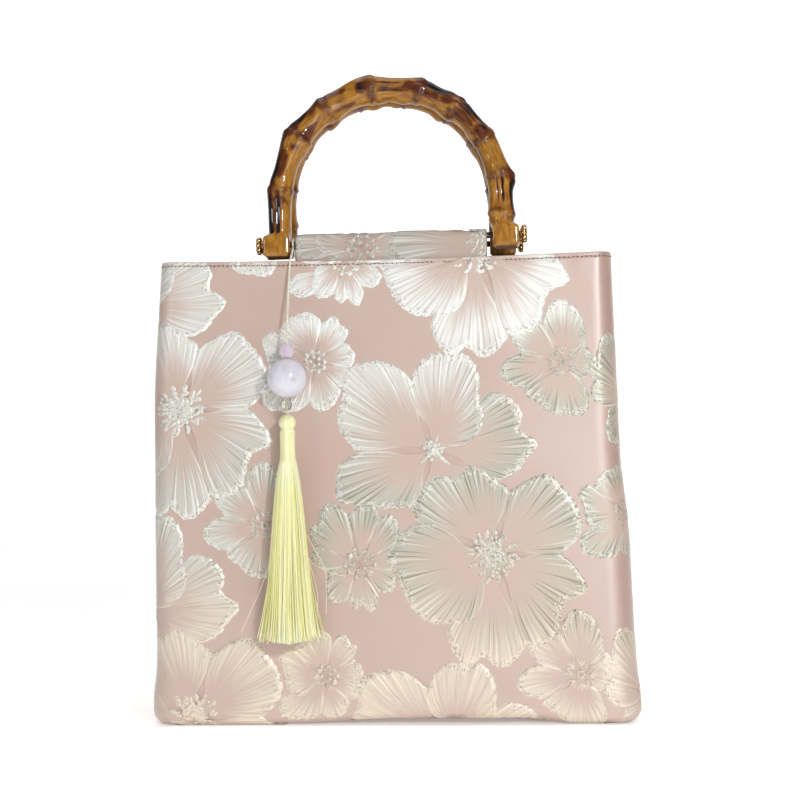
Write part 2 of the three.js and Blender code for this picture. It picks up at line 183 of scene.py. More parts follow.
# Shader helpers
def paint(red, green, blue):
    shares = np.array([red, green, blue]) / 255
    linear = np.where(shares <= 0.04045, shares / 12.92, ((shares + 0.055) / 1.055) ** 2.4)
    return (*linear.tolist(), 1.0)


def addNode(tree, kind, inputs=None, **settings):
    node = tree.nodes.new(kind)
    for key, value in settings.items():
        setattr(node, key, value)
    for key, value in (inputs or {}).items():
        if isinstance(value, bpy.types.NodeSocket):
            tree.links.new(value, node.inputs[key])
        else:
            node.inputs[key].default_value = value
    return node


def calc(tree, operation, first, second=0.0):
    return addNode(tree, "ShaderNodeMath", {0: first, 1: second}, operation=operation).outputs[0]


def fade(tree, value, low, high, start=0.0, end=1.0):
    limits = {"Value": value, "From Min": low, "From Max": high, "To Min": start, "To Max": end}
    return addNode(tree, "ShaderNodeMapRange", limits, interpolation_type="SMOOTHSTEP").outputs[0]


def mixColour(tree, share, first, second):
    return addNode(tree, "ShaderNodeMix", {0: share, 6: first, 7: second}, data_type="RGBA").outputs[2]


def noiseAt(tree, vector, scale, detail=2.0, stretch=(1, 1, 1)):
    spread = addNode(tree, "ShaderNodeMapping", {"Vector": vector, "Scale": stretch}).outputs[0]
    settings = {"Vector": spread, "Scale": scale, "Detail": detail}
    return addNode(tree, "ShaderNodeTexNoise", settings).outputs[0]


def markOf(tree, name):
    return addNode(tree, "ShaderNodeAttribute", attribute_name=name).outputs["Fac"]


def chartOf(tree, name="chart"):
    return addNode(tree, "ShaderNodeUVMap", uv_map=name).outputs[0]


def placeOf(tree):
    return addNode(tree, "ShaderNodeTexCoord").outputs["Object"]


def newMaterial(name, **sockets):
    material = bpy.data.materials.new(name)
    material.use_nodes = True
    tree = material.node_tree
    shader = tree.nodes["Principled BSDF"]
    for key, value in sockets.items():
        shader.inputs[key.replace("_", " ")].default_value = value
    return material, tree, shader


def addBump(tree, shader, height, distance, strength=1.0):
    bump = addNode(tree, "ShaderNodeBump", {"Height": height, "Distance": distance, "Strength": strength})
    tree.links.new(bump.outputs[0], shader.inputs["Normal"])


def newGroup(name, inputs, outputs):
    group = bpy.data.node_groups.new(name, "ShaderNodeTree")
    for way, sockets in (("INPUT", inputs), ("OUTPUT", outputs)):
        for label, kind in sockets.items():
            group.interface.new_socket(label, in_out=way, socket_type="NodeSocket" + kind)
    inside = group.nodes.new("NodeGroupInput")
    outside = group.nodes.new("NodeGroupOutput")
    return group, inside.outputs, outside.inputs


def weaveGroup():
    # fine crossed threads on a cloth chart where 0.01 is one millimetre
    inputs = {"Chart": "Vector", "Threads": "Float"}
    group, inside, outside = newGroup("fineWeave", inputs, {"Height": "Float"})
    parts = addNode(group, "ShaderNodeSeparateXYZ", {0: inside["Chart"]})
    warp = calc(group, "SINE", calc(group, "MULTIPLY", parts.outputs[0], inside["Threads"]))
    weft = calc(group, "SINE", calc(group, "MULTIPLY", parts.outputs[1], inside["Threads"]))
    slub = noiseAt(group, inside["Chart"], 40.0, 2.0, (0.15, 1, 1))
    crossed = calc(group, "ADD", calc(group, "MULTIPLY", warp, 0.35), calc(group, "MULTIPLY", weft, 0.65))
    height = calc(group, "ADD", crossed, calc(group, "MULTIPLY", slub, 1.2))
    group.links.new(height, outside["Height"])
    return group


weave = weaveGroup()


def weaveHeight(tree, chart, threads):
    inputs = {"Chart": chart, "Threads": threads}
    return addNode(tree, "ShaderNodeGroup", inputs, node_tree=weave).outputs["Height"]


def mottleGroup():
    # two tones in soft patches
    inputs = {"Place": "Vector", "Stretch": "Vector", "Scale": "Float", "Detail": "Float", "Low": "Float",
              "High": "Float", "Deep": "Color", "Pale": "Color"}
    group, inside, outside = newGroup("mottle", inputs, {"Colour": "Color", "Noise": "Float"})
    noise = noiseAt(group, inside["Place"], inside["Scale"], inside["Detail"], inside["Stretch"])
    share = fade(group, noise, inside["Low"], inside["High"])
    group.links.new(mixColour(group, share, inside["Deep"], inside["Pale"]), outside["Colour"])
    group.links.new(noise, outside["Noise"])
    return group


mottle = mottleGroup()


def mottled(tree, place, scale, deep, pale, edges, detail=3.0, stretch=(1, 1, 1)):
    inputs = {"Place": place, "Stretch": stretch, "Scale": scale, "Detail": detail, "Low": edges[0],
              "High": edges[1], "Deep": paint(*deep), "Pale": paint(*pale)}
    node = addNode(tree, "ShaderNodeGroup", inputs, node_tree=mottle)
    return node.outputs["Colour"], node.outputs["Noise"]


# Cloth finishes, with the painted shade of the sleeves and of the right corner
clothLook = {
    "pink": (199, 171, 158),
    "rose": (195, 166, 153),
    "champagne": (183, 176, 158),
    "straw": (192, 177, 155),
    "frost": (226, 223, 212),
    "silver": (243, 243, 237),
    "cream": (236, 222, 203),
    # the painted shade of the sleeves
    "shaded": (112, 96, 86),
    "sage": (128, 124, 102),
    "petalPink": (200, 175, 162),
    "speck": (138, 130, 106),
    "lining": (198, 172, 160),
    "stitch": (214, 182, 172),
    "hole": (92, 66, 58),
    # the painted shade at the right corner: its colour, the lean of side and front, and where it starts and
    # ends in metres
    "turned": (140, 94, 84),
    "sideLean": 0.0433,
    "frontLean": 0.0722,
    "sideTurn": (0.116, 0.1225),
    "sideEnd": (-0.03, -0.012),
    "sleeveShadeShare": 0.22,
}


def dye(name):
    return paint(*clothLook[name])


def shadeGroup():
    # painted shade: the sleeves are painted a little darker than the body, and the cloth is painted darker as
    # it turns round the right corner
    inputs = {"Colour": "Color", "Place": "Vector", "Sleeve": "Float", "Turn": "Float"}
    group, inside, outside = newGroup("clothShade", inputs, {"Colour": "Color"})
    parts = addNode(group, "ShaderNodeSeparateXYZ", {0: inside["Place"]})
    sideways = calc(group, "MULTIPLY", parts.outputs[2], clothLook["sideLean"])
    across = calc(group, "ADD", parts.outputs[0], sideways)
    forward = calc(group, "MULTIPLY", parts.outputs[2], clothLook["frontLean"])
    behind = calc(group, "SUBTRACT", parts.outputs[1], forward)
    turned = calc(group, "MULTIPLY", fade(group, across, *clothLook["sideTurn"], 0.0, inside["Turn"]),
                  fade(group, behind, *clothLook["sideEnd"], 1.0, 0.0))
    sleeveShade = calc(group, "MULTIPLY", inside["Sleeve"], clothLook["sleeveShadeShare"])
    colour = mixColour(group, sleeveShade, inside["Colour"], dye("shaded"))
    colour = mixColour(group, turned, colour, dye("turned"))
    group.links.new(colour, outside["Colour"])
    return group


clothShade = shadeGroup()


def inShade(tree, colour, turnShare):
    inputs = {"Colour": colour, "Place": placeOf(tree), "Sleeve": markOf(tree, "shade"), "Turn": turnShare}
    return addNode(tree, "ShaderNodeGroup", inputs, node_tree=clothShade).outputs["Colour"]


def satinMaterial():
    gloss = {"Coat_Weight": 1.0, "Coat_Roughness": 0.36, "Coat_IOR": 1.8}
    sheen = {"Sheen_Weight": 0.1, "Sheen_Roughness": 0.4}
    material, tree, shader = newMaterial("satin", Roughness=0.5, **gloss, **sheen)
    chart = chartOf(tree)
    colour, _ = mottled(tree, chart, 1.6, clothLook["rose"], clothLook["pink"], (0.35, 0.65), 2.0)
    # painted shade on the sleeves and at the right corner
    colour = inShade(tree, colour, 0.42)
    tree.links.new(colour, shader.inputs["Base Color"])
    addBump(tree, shader, weaveHeight(tree, chart, 1600.0), 0.00003, 0.4)
    return material


def strokes(tree, chart, out, scale, shift):
    # tapering threads that run in from the rim, each to its own depth
    parts = addNode(tree, "ShaderNodeSeparateXYZ", {0: chart})
    along = calc(tree, "MULTIPLY_ADD", parts.outputs[0], scale)
    along.node.inputs[2].default_value = shift
    cell = addNode(tree, "ShaderNodeTexVoronoi", {"W": along, "Scale": 1.0}, voronoi_dimensions="1D")
    chance = addNode(tree, "ShaderNodeSeparateColor", {0: cell.outputs["Color"]}).outputs[0]
    start = fade(tree, chance, 0.0, 1.0, 0.4, 0.8)
    inward = calc(tree, "DIVIDE", calc(tree, "SUBTRACT", out, start), 0.6)
    width = calc(tree, "MULTIPLY", calc(tree, "MAXIMUM", inward, 0.0), 0.3)
    near = calc(tree, "SUBTRACT", width, cell.outputs["Distance"])
    return fade(tree, near, -0.03, 0.07)


def flowerMaterial():
    # chart: x along the rim, y from the flower's middle (0) to the rim (1)
    material, tree, shader = newMaterial("woven_flower", Roughness=0.45, Coat_Weight=0.5, Coat_Roughness=0.34)
    chart = chartOf(tree)
    out = addNode(tree, "ShaderNodeSeparateXYZ", {0: chart}).outputs[1]
    fromRim = markOf(tree, "fromRim")
    fromSide = markOf(tree, "fromSide")
    gleam = markOf(tree, "gleam")
    knot = markOf(tree, "knot")
    warm = markOf(tree, "warm")
    light = mixColour(tree, warm, dye("silver"), dye("cream"))
    petal = calc(tree, "SUBTRACT", 1.0, knot)
    awayFromHighlight = calc(tree, "SUBTRACT", 1.0, gleam)
    streak = noiseAt(tree, chart, 60.0, 3.0, (1, 0.03, 1))
    # the pink satin gives way to silver threads towards the rim
    depth = calc(tree, "ADD", out, fade(tree, streak, 0.3, 0.7, -0.12, 0.12))
    silver = fade(tree, depth, 0.36, 0.9)
    low = mixColour(tree, warm, dye("champagne"), dye("straw"))
    # the painted highlight lightens the silver thread and the pale strokes; away from it the dark strokes
    # show
    rich = mixColour(tree, calc(tree, "MULTIPLY", gleam, 0.9), low, light)
    colour = mixColour(tree, silver, dye("petalPink"), rich)
    dark = calc(tree, "MULTIPLY", strokes(tree, chart, out, 31.0, 0.0), petal)
    pale = calc(tree, "MULTIPLY", strokes(tree, chart, out, 27.0, 37.3), petal)
    paleShare = calc(tree, "MULTIPLY", pale, fade(tree, gleam, 0.0, 0.8, 0.3, 0.85))
    colour = mixColour(tree, paleShare, colour, light)
    darkShare = calc(tree, "MULTIPLY", dark, fade(tree, awayFromHighlight, 0.1, 0.9, 0.3, 0.6))
    stroke = mixColour(tree, fade(tree, awayFromHighlight, 0.35, 0.85), dye("rose"), dye("sage"))
    colour = mixColour(tree, darkShare, colour, stroke)
    # glittering specks in the frilled rim, and a pale line where petals overlap; both are paler under the
    # painted highlight
    wide = addNode(tree, "ShaderNodeMapping", {"Vector": chart, "Scale": (1, 0.45, 1)}).outputs[0]
    speck = addNode(tree, "ShaderNodeTexVoronoi", {"Vector": wide, "Scale": 135.0})
    glint = addNode(tree, "ShaderNodeSeparateColor", {0: speck.outputs["Color"]}).outputs[0]
    rim = fade(tree, calc(tree, "ADD", fromRim, fade(tree, streak, 0.3, 0.7, -2.0, 2.0)), 4.8, 3.0)
    bright = calc(tree, "MULTIPLY", rim, fade(tree, glint, 0.4, 0.5))
    deep = calc(tree, "MULTIPLY", rim, fade(tree, glint, 0.22, 0.15))
    dim = mixColour(tree, warm, dye("frost"), dye("cream"))
    spark = mixColour(tree, fade(tree, gleam, 0.1, 0.8), dim, light)
    brightShare = calc(tree, "MULTIPLY", bright, fade(tree, knot, 0.0, 1.0, 0.75, 0.45))
    colour = mixColour(tree, brightShare, colour, spark)
    colour = mixColour(tree, calc(tree, "MULTIPLY", deep, 0.5), colour, dye("speck"))
    edge = calc(tree, "MULTIPLY", fade(tree, fromSide, 0.8, 0.35), fade(tree, out, 0.35, 0.6))
    colour = mixColour(tree, calc(tree, "MULTIPLY", edge, 0.6), colour, spark)
    # painted shade on the sleeves and at the right corner
    colour = inShade(tree, colour, 0.12)
    tree.links.new(colour, shader.inputs["Base Color"])
    tree.links.new(calc(tree, "MULTIPLY", silver, 0.3), shader.inputs["Metallic"])
    height = calc(tree, "SUBTRACT", pale, dark)
    height = calc(tree, "ADD", height, calc(tree, "MULTIPLY", streak, 0.6))
    height = calc(tree, "ADD", height, calc(tree, "MULTIPLY", rim, glint))
    addBump(tree, shader, height, 0.00014, 0.8)
    return material


def plainCloth(name, colour, roughness):
    material, tree, shader = newMaterial(name, Roughness=roughness, Sheen_Weight=0.15)
    chart = chartOf(tree)
    deep = [0.82 * part for part in colour]
    shade, _ = mottled(tree, chart, 70.0, deep, colour, (0.3, 0.7), 2.0, (0.2, 1.4, 1))
    tree.links.new(shade, shader.inputs["Base Color"])
    addBump(tree, shader, weaveHeight(tree, chart, 1100.0), 0.00008, 0.6)
    return material


satin = satinMaterial()
flowerCloth = flowerMaterial()
innerCloth = plainCloth("inner_cloth", clothLook["lining"], 0.7)
stitchThread = plainCloth("stitch_thread", clothLook["stitch"], 0.6)
# each needle hole is a dark patch of painted shade
needleHoleShade = plainCloth("needle_hole", clothLook["hole"], 0.9)
print("cloth finishes ready")

# The body: outline at a few heights, as the solids have it
bag = {
    "height": 242.5,
    "wall": 2.0,
    "baseRound": 6.0,
    "sideDent": 4.0,
    "frontBelly": 1.5,
    "mouthSag": 1.5,
    "seamGap": 0.1,
    # the lifted part of the front's lower edge: its height, where it starts and ends, and its runs
    "arch": {"rise": 2.8, "left": -52, "leftRun": 55, "right": 94, "rightRun": 24, "fadeUp": 16},
    "z": [0, 12, 27, 60, 102, 128, 178, 204, 242.5],
    "centre": [0, 0, 0, -0.6, -1.6, -2.9, -4, -3.6, -2.8],
    "halfWidth": [127, 127.2, 125.7, 125, 124.2, 122.9, 122, 121.1, 119.3],
    "halfDepth": [40, 39.6, 38.6, 36.3, 33.4, 31.4, 27.4, 25.4, 22.5],
    "corner": [13, 13, 13, 12.5, 12, 12, 11, 10.5, 10],
    "stitchDown": 2.4,
    "stitchPitch": 2.3,
    "stitchHalf": (0.75, 0.36),
    "holeHalf": (0.42, 0.42),
}
underCurl = bag["baseRound"] * (1 - math.pi / 2)      # where the curled lower edge meets the base


def bodyValue(key, z):
    return smoothLine(np.clip(z, 0, bag["height"]), bag["z"], bag[key])


def seamReach(v):
    z = np.maximum(v, bag["baseRound"])
    corner = bodyValue("corner", z)
    flat = bodyValue("halfWidth", z) + bodyValue("halfDepth", z) - 2 * corner
    return flat + corner * math.pi / 2 - bag["seamGap"] / 2


def ripple(u, v):
    # soft unevenness of stiffened cloth, and small puckers along the sewn hem
    slow = 0.2 * np.sin(u / 31 + 1.3 * np.sin(v / 57)) * np.sin(v / 46 + 0.7) + 0.12 * np.sin(u / 17 + v / 39)
    below = bag["height"] - v
    pucker = 0.16 * np.sin(u * tau / 11 + 1.1 * np.sin(u / 23)) * np.exp(-((below / 8) ** 2))
    groove = -0.3 * np.exp(-(((below - bag["stitchDown"]) / 0.6) ** 2))
    return slow + pucker + groove


def footArch(x):
    # the front's lower edge lifts a little between its corners
    arch = bag["arch"]
    fromLeft = easy((x - arch["left"]) / arch["leftRun"])
    return arch["rise"] * fromLeft * easy((arch["right"] - x) / arch["rightRun"])


def wallPoint(side, u, v, lift):
    # u runs across from the middle of a panel to its seams, v up the cloth; side is 1 in front, -1 behind
    round0 = bag["baseRound"]
    inset = -(lift + ripple(u, v))
    bend = np.clip((round0 - v) / round0, 0, math.pi / 2)
    curled = v < round0
    z = np.where(curled, round0 - (round0 - inset) * np.sin(bend), v)
    pulled = np.where(curled, round0 - (round0 - inset) * np.cos(bend), inset)
    level = np.maximum(v, round0)
    corner = bodyValue("corner", level)
    flatX = bodyValue("halfWidth", level) - corner
    flatY = bodyValue("halfDepth", level) - corner
    far = np.abs(u)
    turn = np.clip((far - flatX) / corner, 0, math.pi / 2)
    along = np.clip(far - flatX - corner * math.pi / 2, 0, flatY)
    x = np.minimum(far, flatX) + (corner - pulled) * np.sin(turn)
    y = -flatY - (corner - pulled) * np.cos(turn) + along
    belly = bag["frontBelly"] * np.sin(math.pi * np.clip(z / bag["height"], 0, 1))
    y = y - belly * np.clip(1 - (far / flatX) ** 2, 0, 1)
    dent = bag["sideDent"] * np.clip(z / bag["height"], 0, 1) / 2
    x = x - np.where(along > 0, dent * (1 + np.cos(math.pi * (flatY - along) / flatY)), 0)
    z = z + footArch(u) * easy(1 - v / bag["arch"]["fadeUp"]) * (side > 0)
    z = z - bag["mouthSag"] * np.clip(z / bag["height"], 0, 1) ** 4 * (1 - (x / (flatX + corner)) ** 2)
    return np.stack([side * np.sign(u) * x + bodyValue("centre", level), side * y, z], -1)


def panelCloth(side, name):
    top, wall = bag["height"], bag["wall"]
    outside = np.concatenate([np.linspace(underCurl, 6, 7), np.linspace(9, top - 8, 62),
                              np.linspace(top - 7.5, top - wall / 2, 15)])
    roll = np.linspace(0, math.pi, 7)[1:-1]
    inside = outside[::-1]
    v = np.concatenate([outside, top - wall / 2 + wall / 2 * np.sin(roll), inside])
    lift = np.concatenate([0 * outside, -wall / 2 * (1 - np.cos(roll)), 0 * inside - wall])
    reach = seamReach(v)[:, None]
    close = np.array([0, 0, 0.2, 0.7])
    u = np.hstack([close - reach, np.linspace(-1, 1, 137) * (reach - 1.6), reach - close[::-1]])
    v2 = np.broadcast_to(v[:, None], u.shape)
    lift2 = np.broadcast_to(lift[:, None], u.shape).copy()
    lift2 -= 0.35 * np.exp(-(((seamReach(v2) - np.abs(u)) / 0.8) ** 2)) * (lift2 > -wall / 2)
    lift2[:, [0, -1]] = -wall
    points = wallPoint(side, u, v2, lift2)
    chart = np.stack([u * 0.01, v2 * 0.01 + 0.31 * (side < 0)], -1)
    points, chart = np.concatenate([points, points[:1]]), np.concatenate([chart, chart[-1:]])
    turned = len(outside) + len(roll)
    shell = {"points": points[:turned + 1], "map": chart[:turned + 1]}
    within = {"points": points[turned:], "map": chart[turned:], "slot": 1}
    return joinGrids(name, [shell, within], satin, innerCloth, welded=True)


frontCloth = finishPiece(panelCloth(1, "front_cloth"), "bag", "brocade", "front_panel")
backCloth = finishPiece(panelCloth(-1, "back_cloth"), "bag", "brocade", "back_panel")


def baseCloth():
    inner = bag["baseRound"] - bag["wall"]
    edge = bag["baseRound"] - inner * math.sin(math.radians(12)) + 0.3
    share = np.linspace(-1, 1, 121)[:-1]
    level = np.full(share.shape, bag["baseRound"])
    front = wallPoint(1, share * seamReach(level), level, -edge)[:, :2]
    back = wallPoint(-1, share * seamReach(level), level, -edge)[:, :2]
    outline = np.concatenate([front, back])
    ring = np.array([1, 1, 0.995, 0.97, 0.85, 0.6, 0.3, 0.02])
    rise = np.array([1.9, 0.5, 0.12, 0, 0, 0, 0, 0])
    lower = np.concatenate([outline[None] * ring[:, None, None],
                            np.broadcast_to(rise[:, None, None], (8, len(outline), 1))], -1)[::-1]
    upper = lower[::-1].copy()
    upper[..., 2] = 2 - 0.05 * upper[..., 2]
    near = np.array([1, 1, 1, 0.95, 0.5, 0.1, 0, 0])[::-1, None]
    arched = footArch(outline[:, 0]) * (outline[:, 1] < 0)
    lower[..., 2] += 0.9 * near * arched
    upper[..., 2] += 0.9 * near[::-1] * arched
    points = np.concatenate([lower, upper])
    chart = points[..., :2] * 0.01
    return joinGrids("base_cloth", [{"points": points, "map": chart, "wrap": True}], satin)


bottomCloth = finishPiece(baseCloth(), "bag", "brocade", "base_panel")

# Flowers of the brocade, charted in millimetres about each flower's middle.
# A petal's edge is (degrees, reach) pairs; later petals and later flowers lie over earlier ones.
repeat = {
    "upRight": (156.0, 82.3), "downRight": (162.2, -77.5), "reach": 165, "top": 243, "backShift": (61, 34),
    "widest": 55, "centreRoom": 5,
}
primrose = {
    "middle": (-34, 25.2), "level": 0.12,
    "stamens": {"style": "dots", "count": 10, "reach": 5.4, "size": 1.3},
    "moved": {(1, -1): (1.5, 3.3, 1.12)},
    "petals": [
        [(80, 19), (95, 23.5), (112, 24), (130, 23.5), (147, 21)],
        [(-100, 19.5), (-85, 23.5), (-68, 22.5), (-48, 18)],
        [(202, 24.5), (211, 29), (221, 31.5), (236, 28), (251, 24.5), (262, 19)],
        [(-48, 17), (-35, 20), (-22, 19), (-10, 16.5)],
        [(-12, 16.5), (5, 19), (21, 18), (34, 16)],
        [(33, 16.5), (43, 21.5), (55, 21), (65, 23.5), (81, 18)],
        [(143, 24.5), (158, 27), (170, 23.5), (188, 22), (204, 21), (213, 19), (222, 14.5)],
    ],
}
mallow = {
    "middle": (90.3, 185.3), "level": 0.14,
    "stamens": {"style": "forks", "count": 8, "reach": 8.6, "size": 4.2},
    "petals": [
        [(116, 22), (130, 30), (150, 31), (168, 21)],
        [(-46, 12), (-20, 15.5), (10, 15.5), (42, 14)],
        [(164, 19.5), (173, 27), (184, 32.5), (191, 33), (203, 29), (213, 24)],
        [(212, 24), (220, 25.5), (236, 25), (254, 27.5), (270, 27.5), (284, 29.5), (292, 29), (308, 20.5),
         (315, 13.5)],
        [(39, 15), (57, 21.5), (76, 29), (95, 33), (109, 27.5), (118, 20)],
    ],
}
anemone = {
    "middle": (-16, 82.5), "level": 0.16,
    "stamens": {"style": "dots", "count": 10, "reach": 7.4, "size": 1.5},
    "moved": {(1, 0): (-8.0, 0.0, 1.1), (0, 1): (-9.0, 7.0, 1.15)},
    "petals": [
        [(-16, 15), (0, 21), (15, 22), (32, 20)],
        [(138, 33), (147, 31.5), (157, 27)],
        [(155, 25), (166, 26), (178, 24.5), (191, 17.5)],
        [(189, 15.5), (204, 19), (220, 23.5), (233, 25), (250, 20)],
        [(249, 19), (264, 23.5), (271, 21), (283, 25.5), (300, 19)],
        [(299, 15.5), (313, 20.5), (328, 21.5), (339, 20), (349, 14)],
        [(28, 21), (38, 26), (47, 29), (61, 29), (68, 25)],
        [(104, 27), (110, 32), (116, 35.5), (122, 36), (132, 32.5), (146, 27)],
        [(65, 25), (72, 30), (92, 29.5), (106, 25.5)],
    ],
}
pansy = {
    "middle": (22.1, 140.7), "level": 0.34,
    "stamens": {"style": "star", "size": 4.6, "arms": [(122, 8), (67, 9), (12, 9), (-40, 13), (227, 10.5)]},
    "petals": [
        [(250, 34), (275, 38), (300, 39), (325, 38), (337, 37)],
        [(-25, 38), (-14, 46), (-7, 48.5), (3, 54.5), (13, 46.5), (19, 49.5), (34, 48.5), (46, 42)],
        [(179, 36), (189, 49.5), (197, 52.5), (207, 55.5), (218, 45.5), (230, 39), (241, 34), (255, 30)],
        [(106, 40), (116, 52), (126, 58), (138, 62), (148, 55), (157, 53.5), (164, 51), (179, 40)],
        [(8, 17), (21, 27), (35, 33.5), (48, 37), (58, 46.5), (71, 53), (79, 51), (88, 51), (96, 47.5),
         (112, 33)],
    ],
}
poppy = {
    "middle": (52.4, 86.2), "level": 0.62,
    "stamens": {"style": "scribble", "count": 64, "reach": 12.5, "size": 5.2},
    "petals": [
        [(74, 35), (86, 39), (102, 47.5), (115, 45.5), (123, 50.5), (133, 51.5), (155, 44)],
        [(-123, 45), (-111, 55), (-102, 57.5), (-97, 52.5), (-88, 57.5), (-71, 50)],
        [(-73, 48), (-58, 53), (-50, 52), (-44, 48), (-31, 45), (-21, 51.5), (-9, 43.5), (2, 34)],
        [(0, 35), (13, 46.5), (22, 50), (29, 50.5), (43, 50.5), (56, 50), (64, 43), (75, 33)],
        [(150, 35), (164, 48), (173, 51.5), (181, 55), (191, 50.5), (201, 50), (215, 49.5), (228, 46.5),
         (237, 41.5), (249, 37), (258, 27.5)],
    ],
}
bouquet = [primrose, mallow, anemone, pansy, poppy]
# single petals beside the repeat: middle, edge
hemPetals = [((-26, 238), [(186, 22), (196, 27.5), (206, 28.5), (216, 26), (226, 20)])]
sleevePetals = [((-21, 250), [(152, 16), (166, 26), (180, 29), (194, 27), (208, 17)])]
petalLook = {
    "alongStep": 1.25,
    "shares": [0.03, 0.16, 0.32, 0.48, 0.62, 0.74, 0.84, 0.915, 0.965, 1.0],
    "rise": [0.95, 0.97, 1.0, 1.0, 1.0, 1.0, 1.0, 1.05, 1.1, -0.1],
    "crown": 0.16,
    "layer": 0.035,
    "frill": 0.8,
    "frillWide": 4.6,
    "ridge": 0.03,
    "narrow": 0.62,
}


# painted highlight on the silver thread, brightest under the hem's middle and weakest low on the right:
# each patch has a strength and edges, as (axis, start, run), where a run below 0 goes left or down
highlightPatches = [
    (0.6, [("z", 95, 100)]),
    (0.55, [("z", 85, -55)]),
    (0.08, [("x", -45, -45)]),
    (-0.6, [("x", 25, 50), ("z", 215, -20), ("z", 25, 40)]),
    (0.5, [("z", 185, 25), ("x", -60, 30), ("x", 120, -30)]),
    (0.3, [("x", -45, -45), ("z", 140, -40), ("z", 30, 30)]),
    (-0.55, [("x", 68, 14), ("z", 226, -10), ("z", 150, 20)]),
]


def paintedHighlightAt(x, z):
    share = 0.12
    for patch, edges in highlightPatches:
        for axis, start, run in edges:
            patch = patch * easy(((x if axis == "x" else z) - start) / run)
        share = share + patch
    return np.clip(share, 0.05, 1)


def warmAt(z):
    # low on the bag the silver looks cream
    return easy((105 - z) / 70)


def petalGrid(place, middle, edge, level, number, size):
    degrees, reaches = zip(*edge)
    longest = max(reaches) * math.radians(degrees[-1] - degrees[0])
    count = max(8, int(longest / petalLook["alongStep"]))
    turn = np.linspace(degrees[0], degrees[-1], count + 1)
    rim = smoothLine(turn, degrees, reaches) * size
    along = np.concatenate([[0], np.cumsum(np.radians(np.diff(turn)) * rim[1:])])
    wave = along * math.pi / petalLook["frillWide"] + 0.9 * np.sin(along / 7 + number)
    rim = rim + petalLook["frill"] * (np.abs(np.sin(wave + number)) - 0.55)
    share = np.array(petalLook["shares"])
    if np.abs(middle[0] + rim * np.cos(np.radians(turn))).max() > 100:
        # finer steps follow the bag's rounded corners
        share = np.sort(np.concatenate([share, (share[1:] + share[:-1]) / 2]))
    # a petal narrows towards the flower's middle, so its sides are curved
    narrow = petalLook["narrow"] + (1 - petalLook["narrow"]) * easy(share / 0.75)
    half = (degrees[0] + degrees[-1]) / 2
    turned = np.radians(half + (turn[:, None] - half) * narrow)
    x = middle[0] + rim[:, None] * share * np.cos(turned)
    z = middle[1] + rim[:, None] * share * np.sin(turned)
    # the edge comes down to the cloth all round, so a petal is closed from the side
    inner = np.minimum(np.arange(count + 1), count - np.arange(count + 1)) > 0
    veins = np.sin(along * tau / 3.1 + number) + 0.7 * np.sin(along * tau / 5.3 + 2 * number)
    relief = petalLook["ridge"] * veins[:, None] * np.clip((share - 0.3) / 0.5, 0, 1) * (share < 0.95)
    body = (level + petalLook["crown"]) * np.interp(share, petalLook["shares"], petalLook["rise"])
    lift = np.where(inner[:, None], body + relief, -0.1)
    chart = np.stack(np.broadcast_arrays(along[:, None] * 0.01 + number * 0.731, share[None]), -1)
    # the painted highlight of the silver thread, by where the petal lies
    marks = {"fromRim": (1 - share) * rim[:, None], "gleam": paintedHighlightAt(x, z), "warm": warmAt(z),
             "fromSide": np.minimum(along, along[-1] - along)[:, None] * share * narrow}
    return {"points": place(x, z, lift), "map": chart, "values": marks}


def stitchMarks(px, pz):
    # silver knots: speckled all over, a little brighter than the petals beside them, with a share of the
    # painted highlight
    rise = 0.022 * (pz - pz.mean())
    chart = np.stack([px * 0.01 + 3.1, np.clip(0.97 + rise, 0.85, 1.2)], -1)
    marks = {"fromRim": 0.5, "fromSide": 3.0, "knot": 1.0, "gleam": 0.12 + 0.7 * paintedHighlightAt(px, pz),
             "warm": warmAt(pz)}
    return {"map": chart, "values": marks}


def stitchStrip(place, x, z, width, level, pointed=False):
    # a short raised strip along the points x, z, narrow at both ends or pointed at its far end
    ahead = np.stack([np.gradient(x), np.gradient(z)])
    ahead = ahead / np.linalg.norm(ahead, axis=0)
    bow = np.sin(np.linspace(0.45, math.pi - 0.45, len(x)))
    taper = width * (np.linspace(1, 0.1, len(x)) if pointed else bow)
    across = np.array([-1.0, 0.0, 1.0])
    px = x[:, None] + across * (taper * ahead[1])[:, None]
    pz = z[:, None] - across * (taper * ahead[0])[:, None]
    lift = np.broadcast_to(level + np.array([-0.1, 0.42, -0.1]), px.shape)
    return {"points": place(px, pz, lift), **stitchMarks(px, pz)}


def stitchDot(place, x, z, size, level, height=0.5):
    ring = np.linspace(0, tau, 11)[:, None]
    px = x + size * np.array([0.05, 0.65, 1.0]) * np.cos(ring)
    pz = z + size * np.array([0.05, 0.65, 1.0]) * np.sin(ring)
    lift = np.broadcast_to(level + np.array([height, 0.8 * height, -0.1]), px.shape)
    return {"points": place(px, pz, lift), **stitchMarks(px, pz)}


def starGrids(place, middle, stamens, level):
    # five pointed arms round a knotted middle
    grids = [stitchDot(place, *middle, 0.55 * stamens["size"], level)]
    for degrees, reach in stamens["arms"]:
        turn = math.radians(degrees)
        far = np.linspace(1.2, reach, 7)
        grids.append(stitchStrip(place, middle[0] + far * math.cos(turn), middle[1] + far * math.sin(turn),
                                 0.38 * stamens["size"], level, True))
        spot = [middle[k] + stamens["size"] * (math.cos, math.sin)[k](turn + 0.6) for k in (0, 1)]
        grids.append(stitchDot(place, *spot, 0.3 * stamens["size"], level))
    return grids


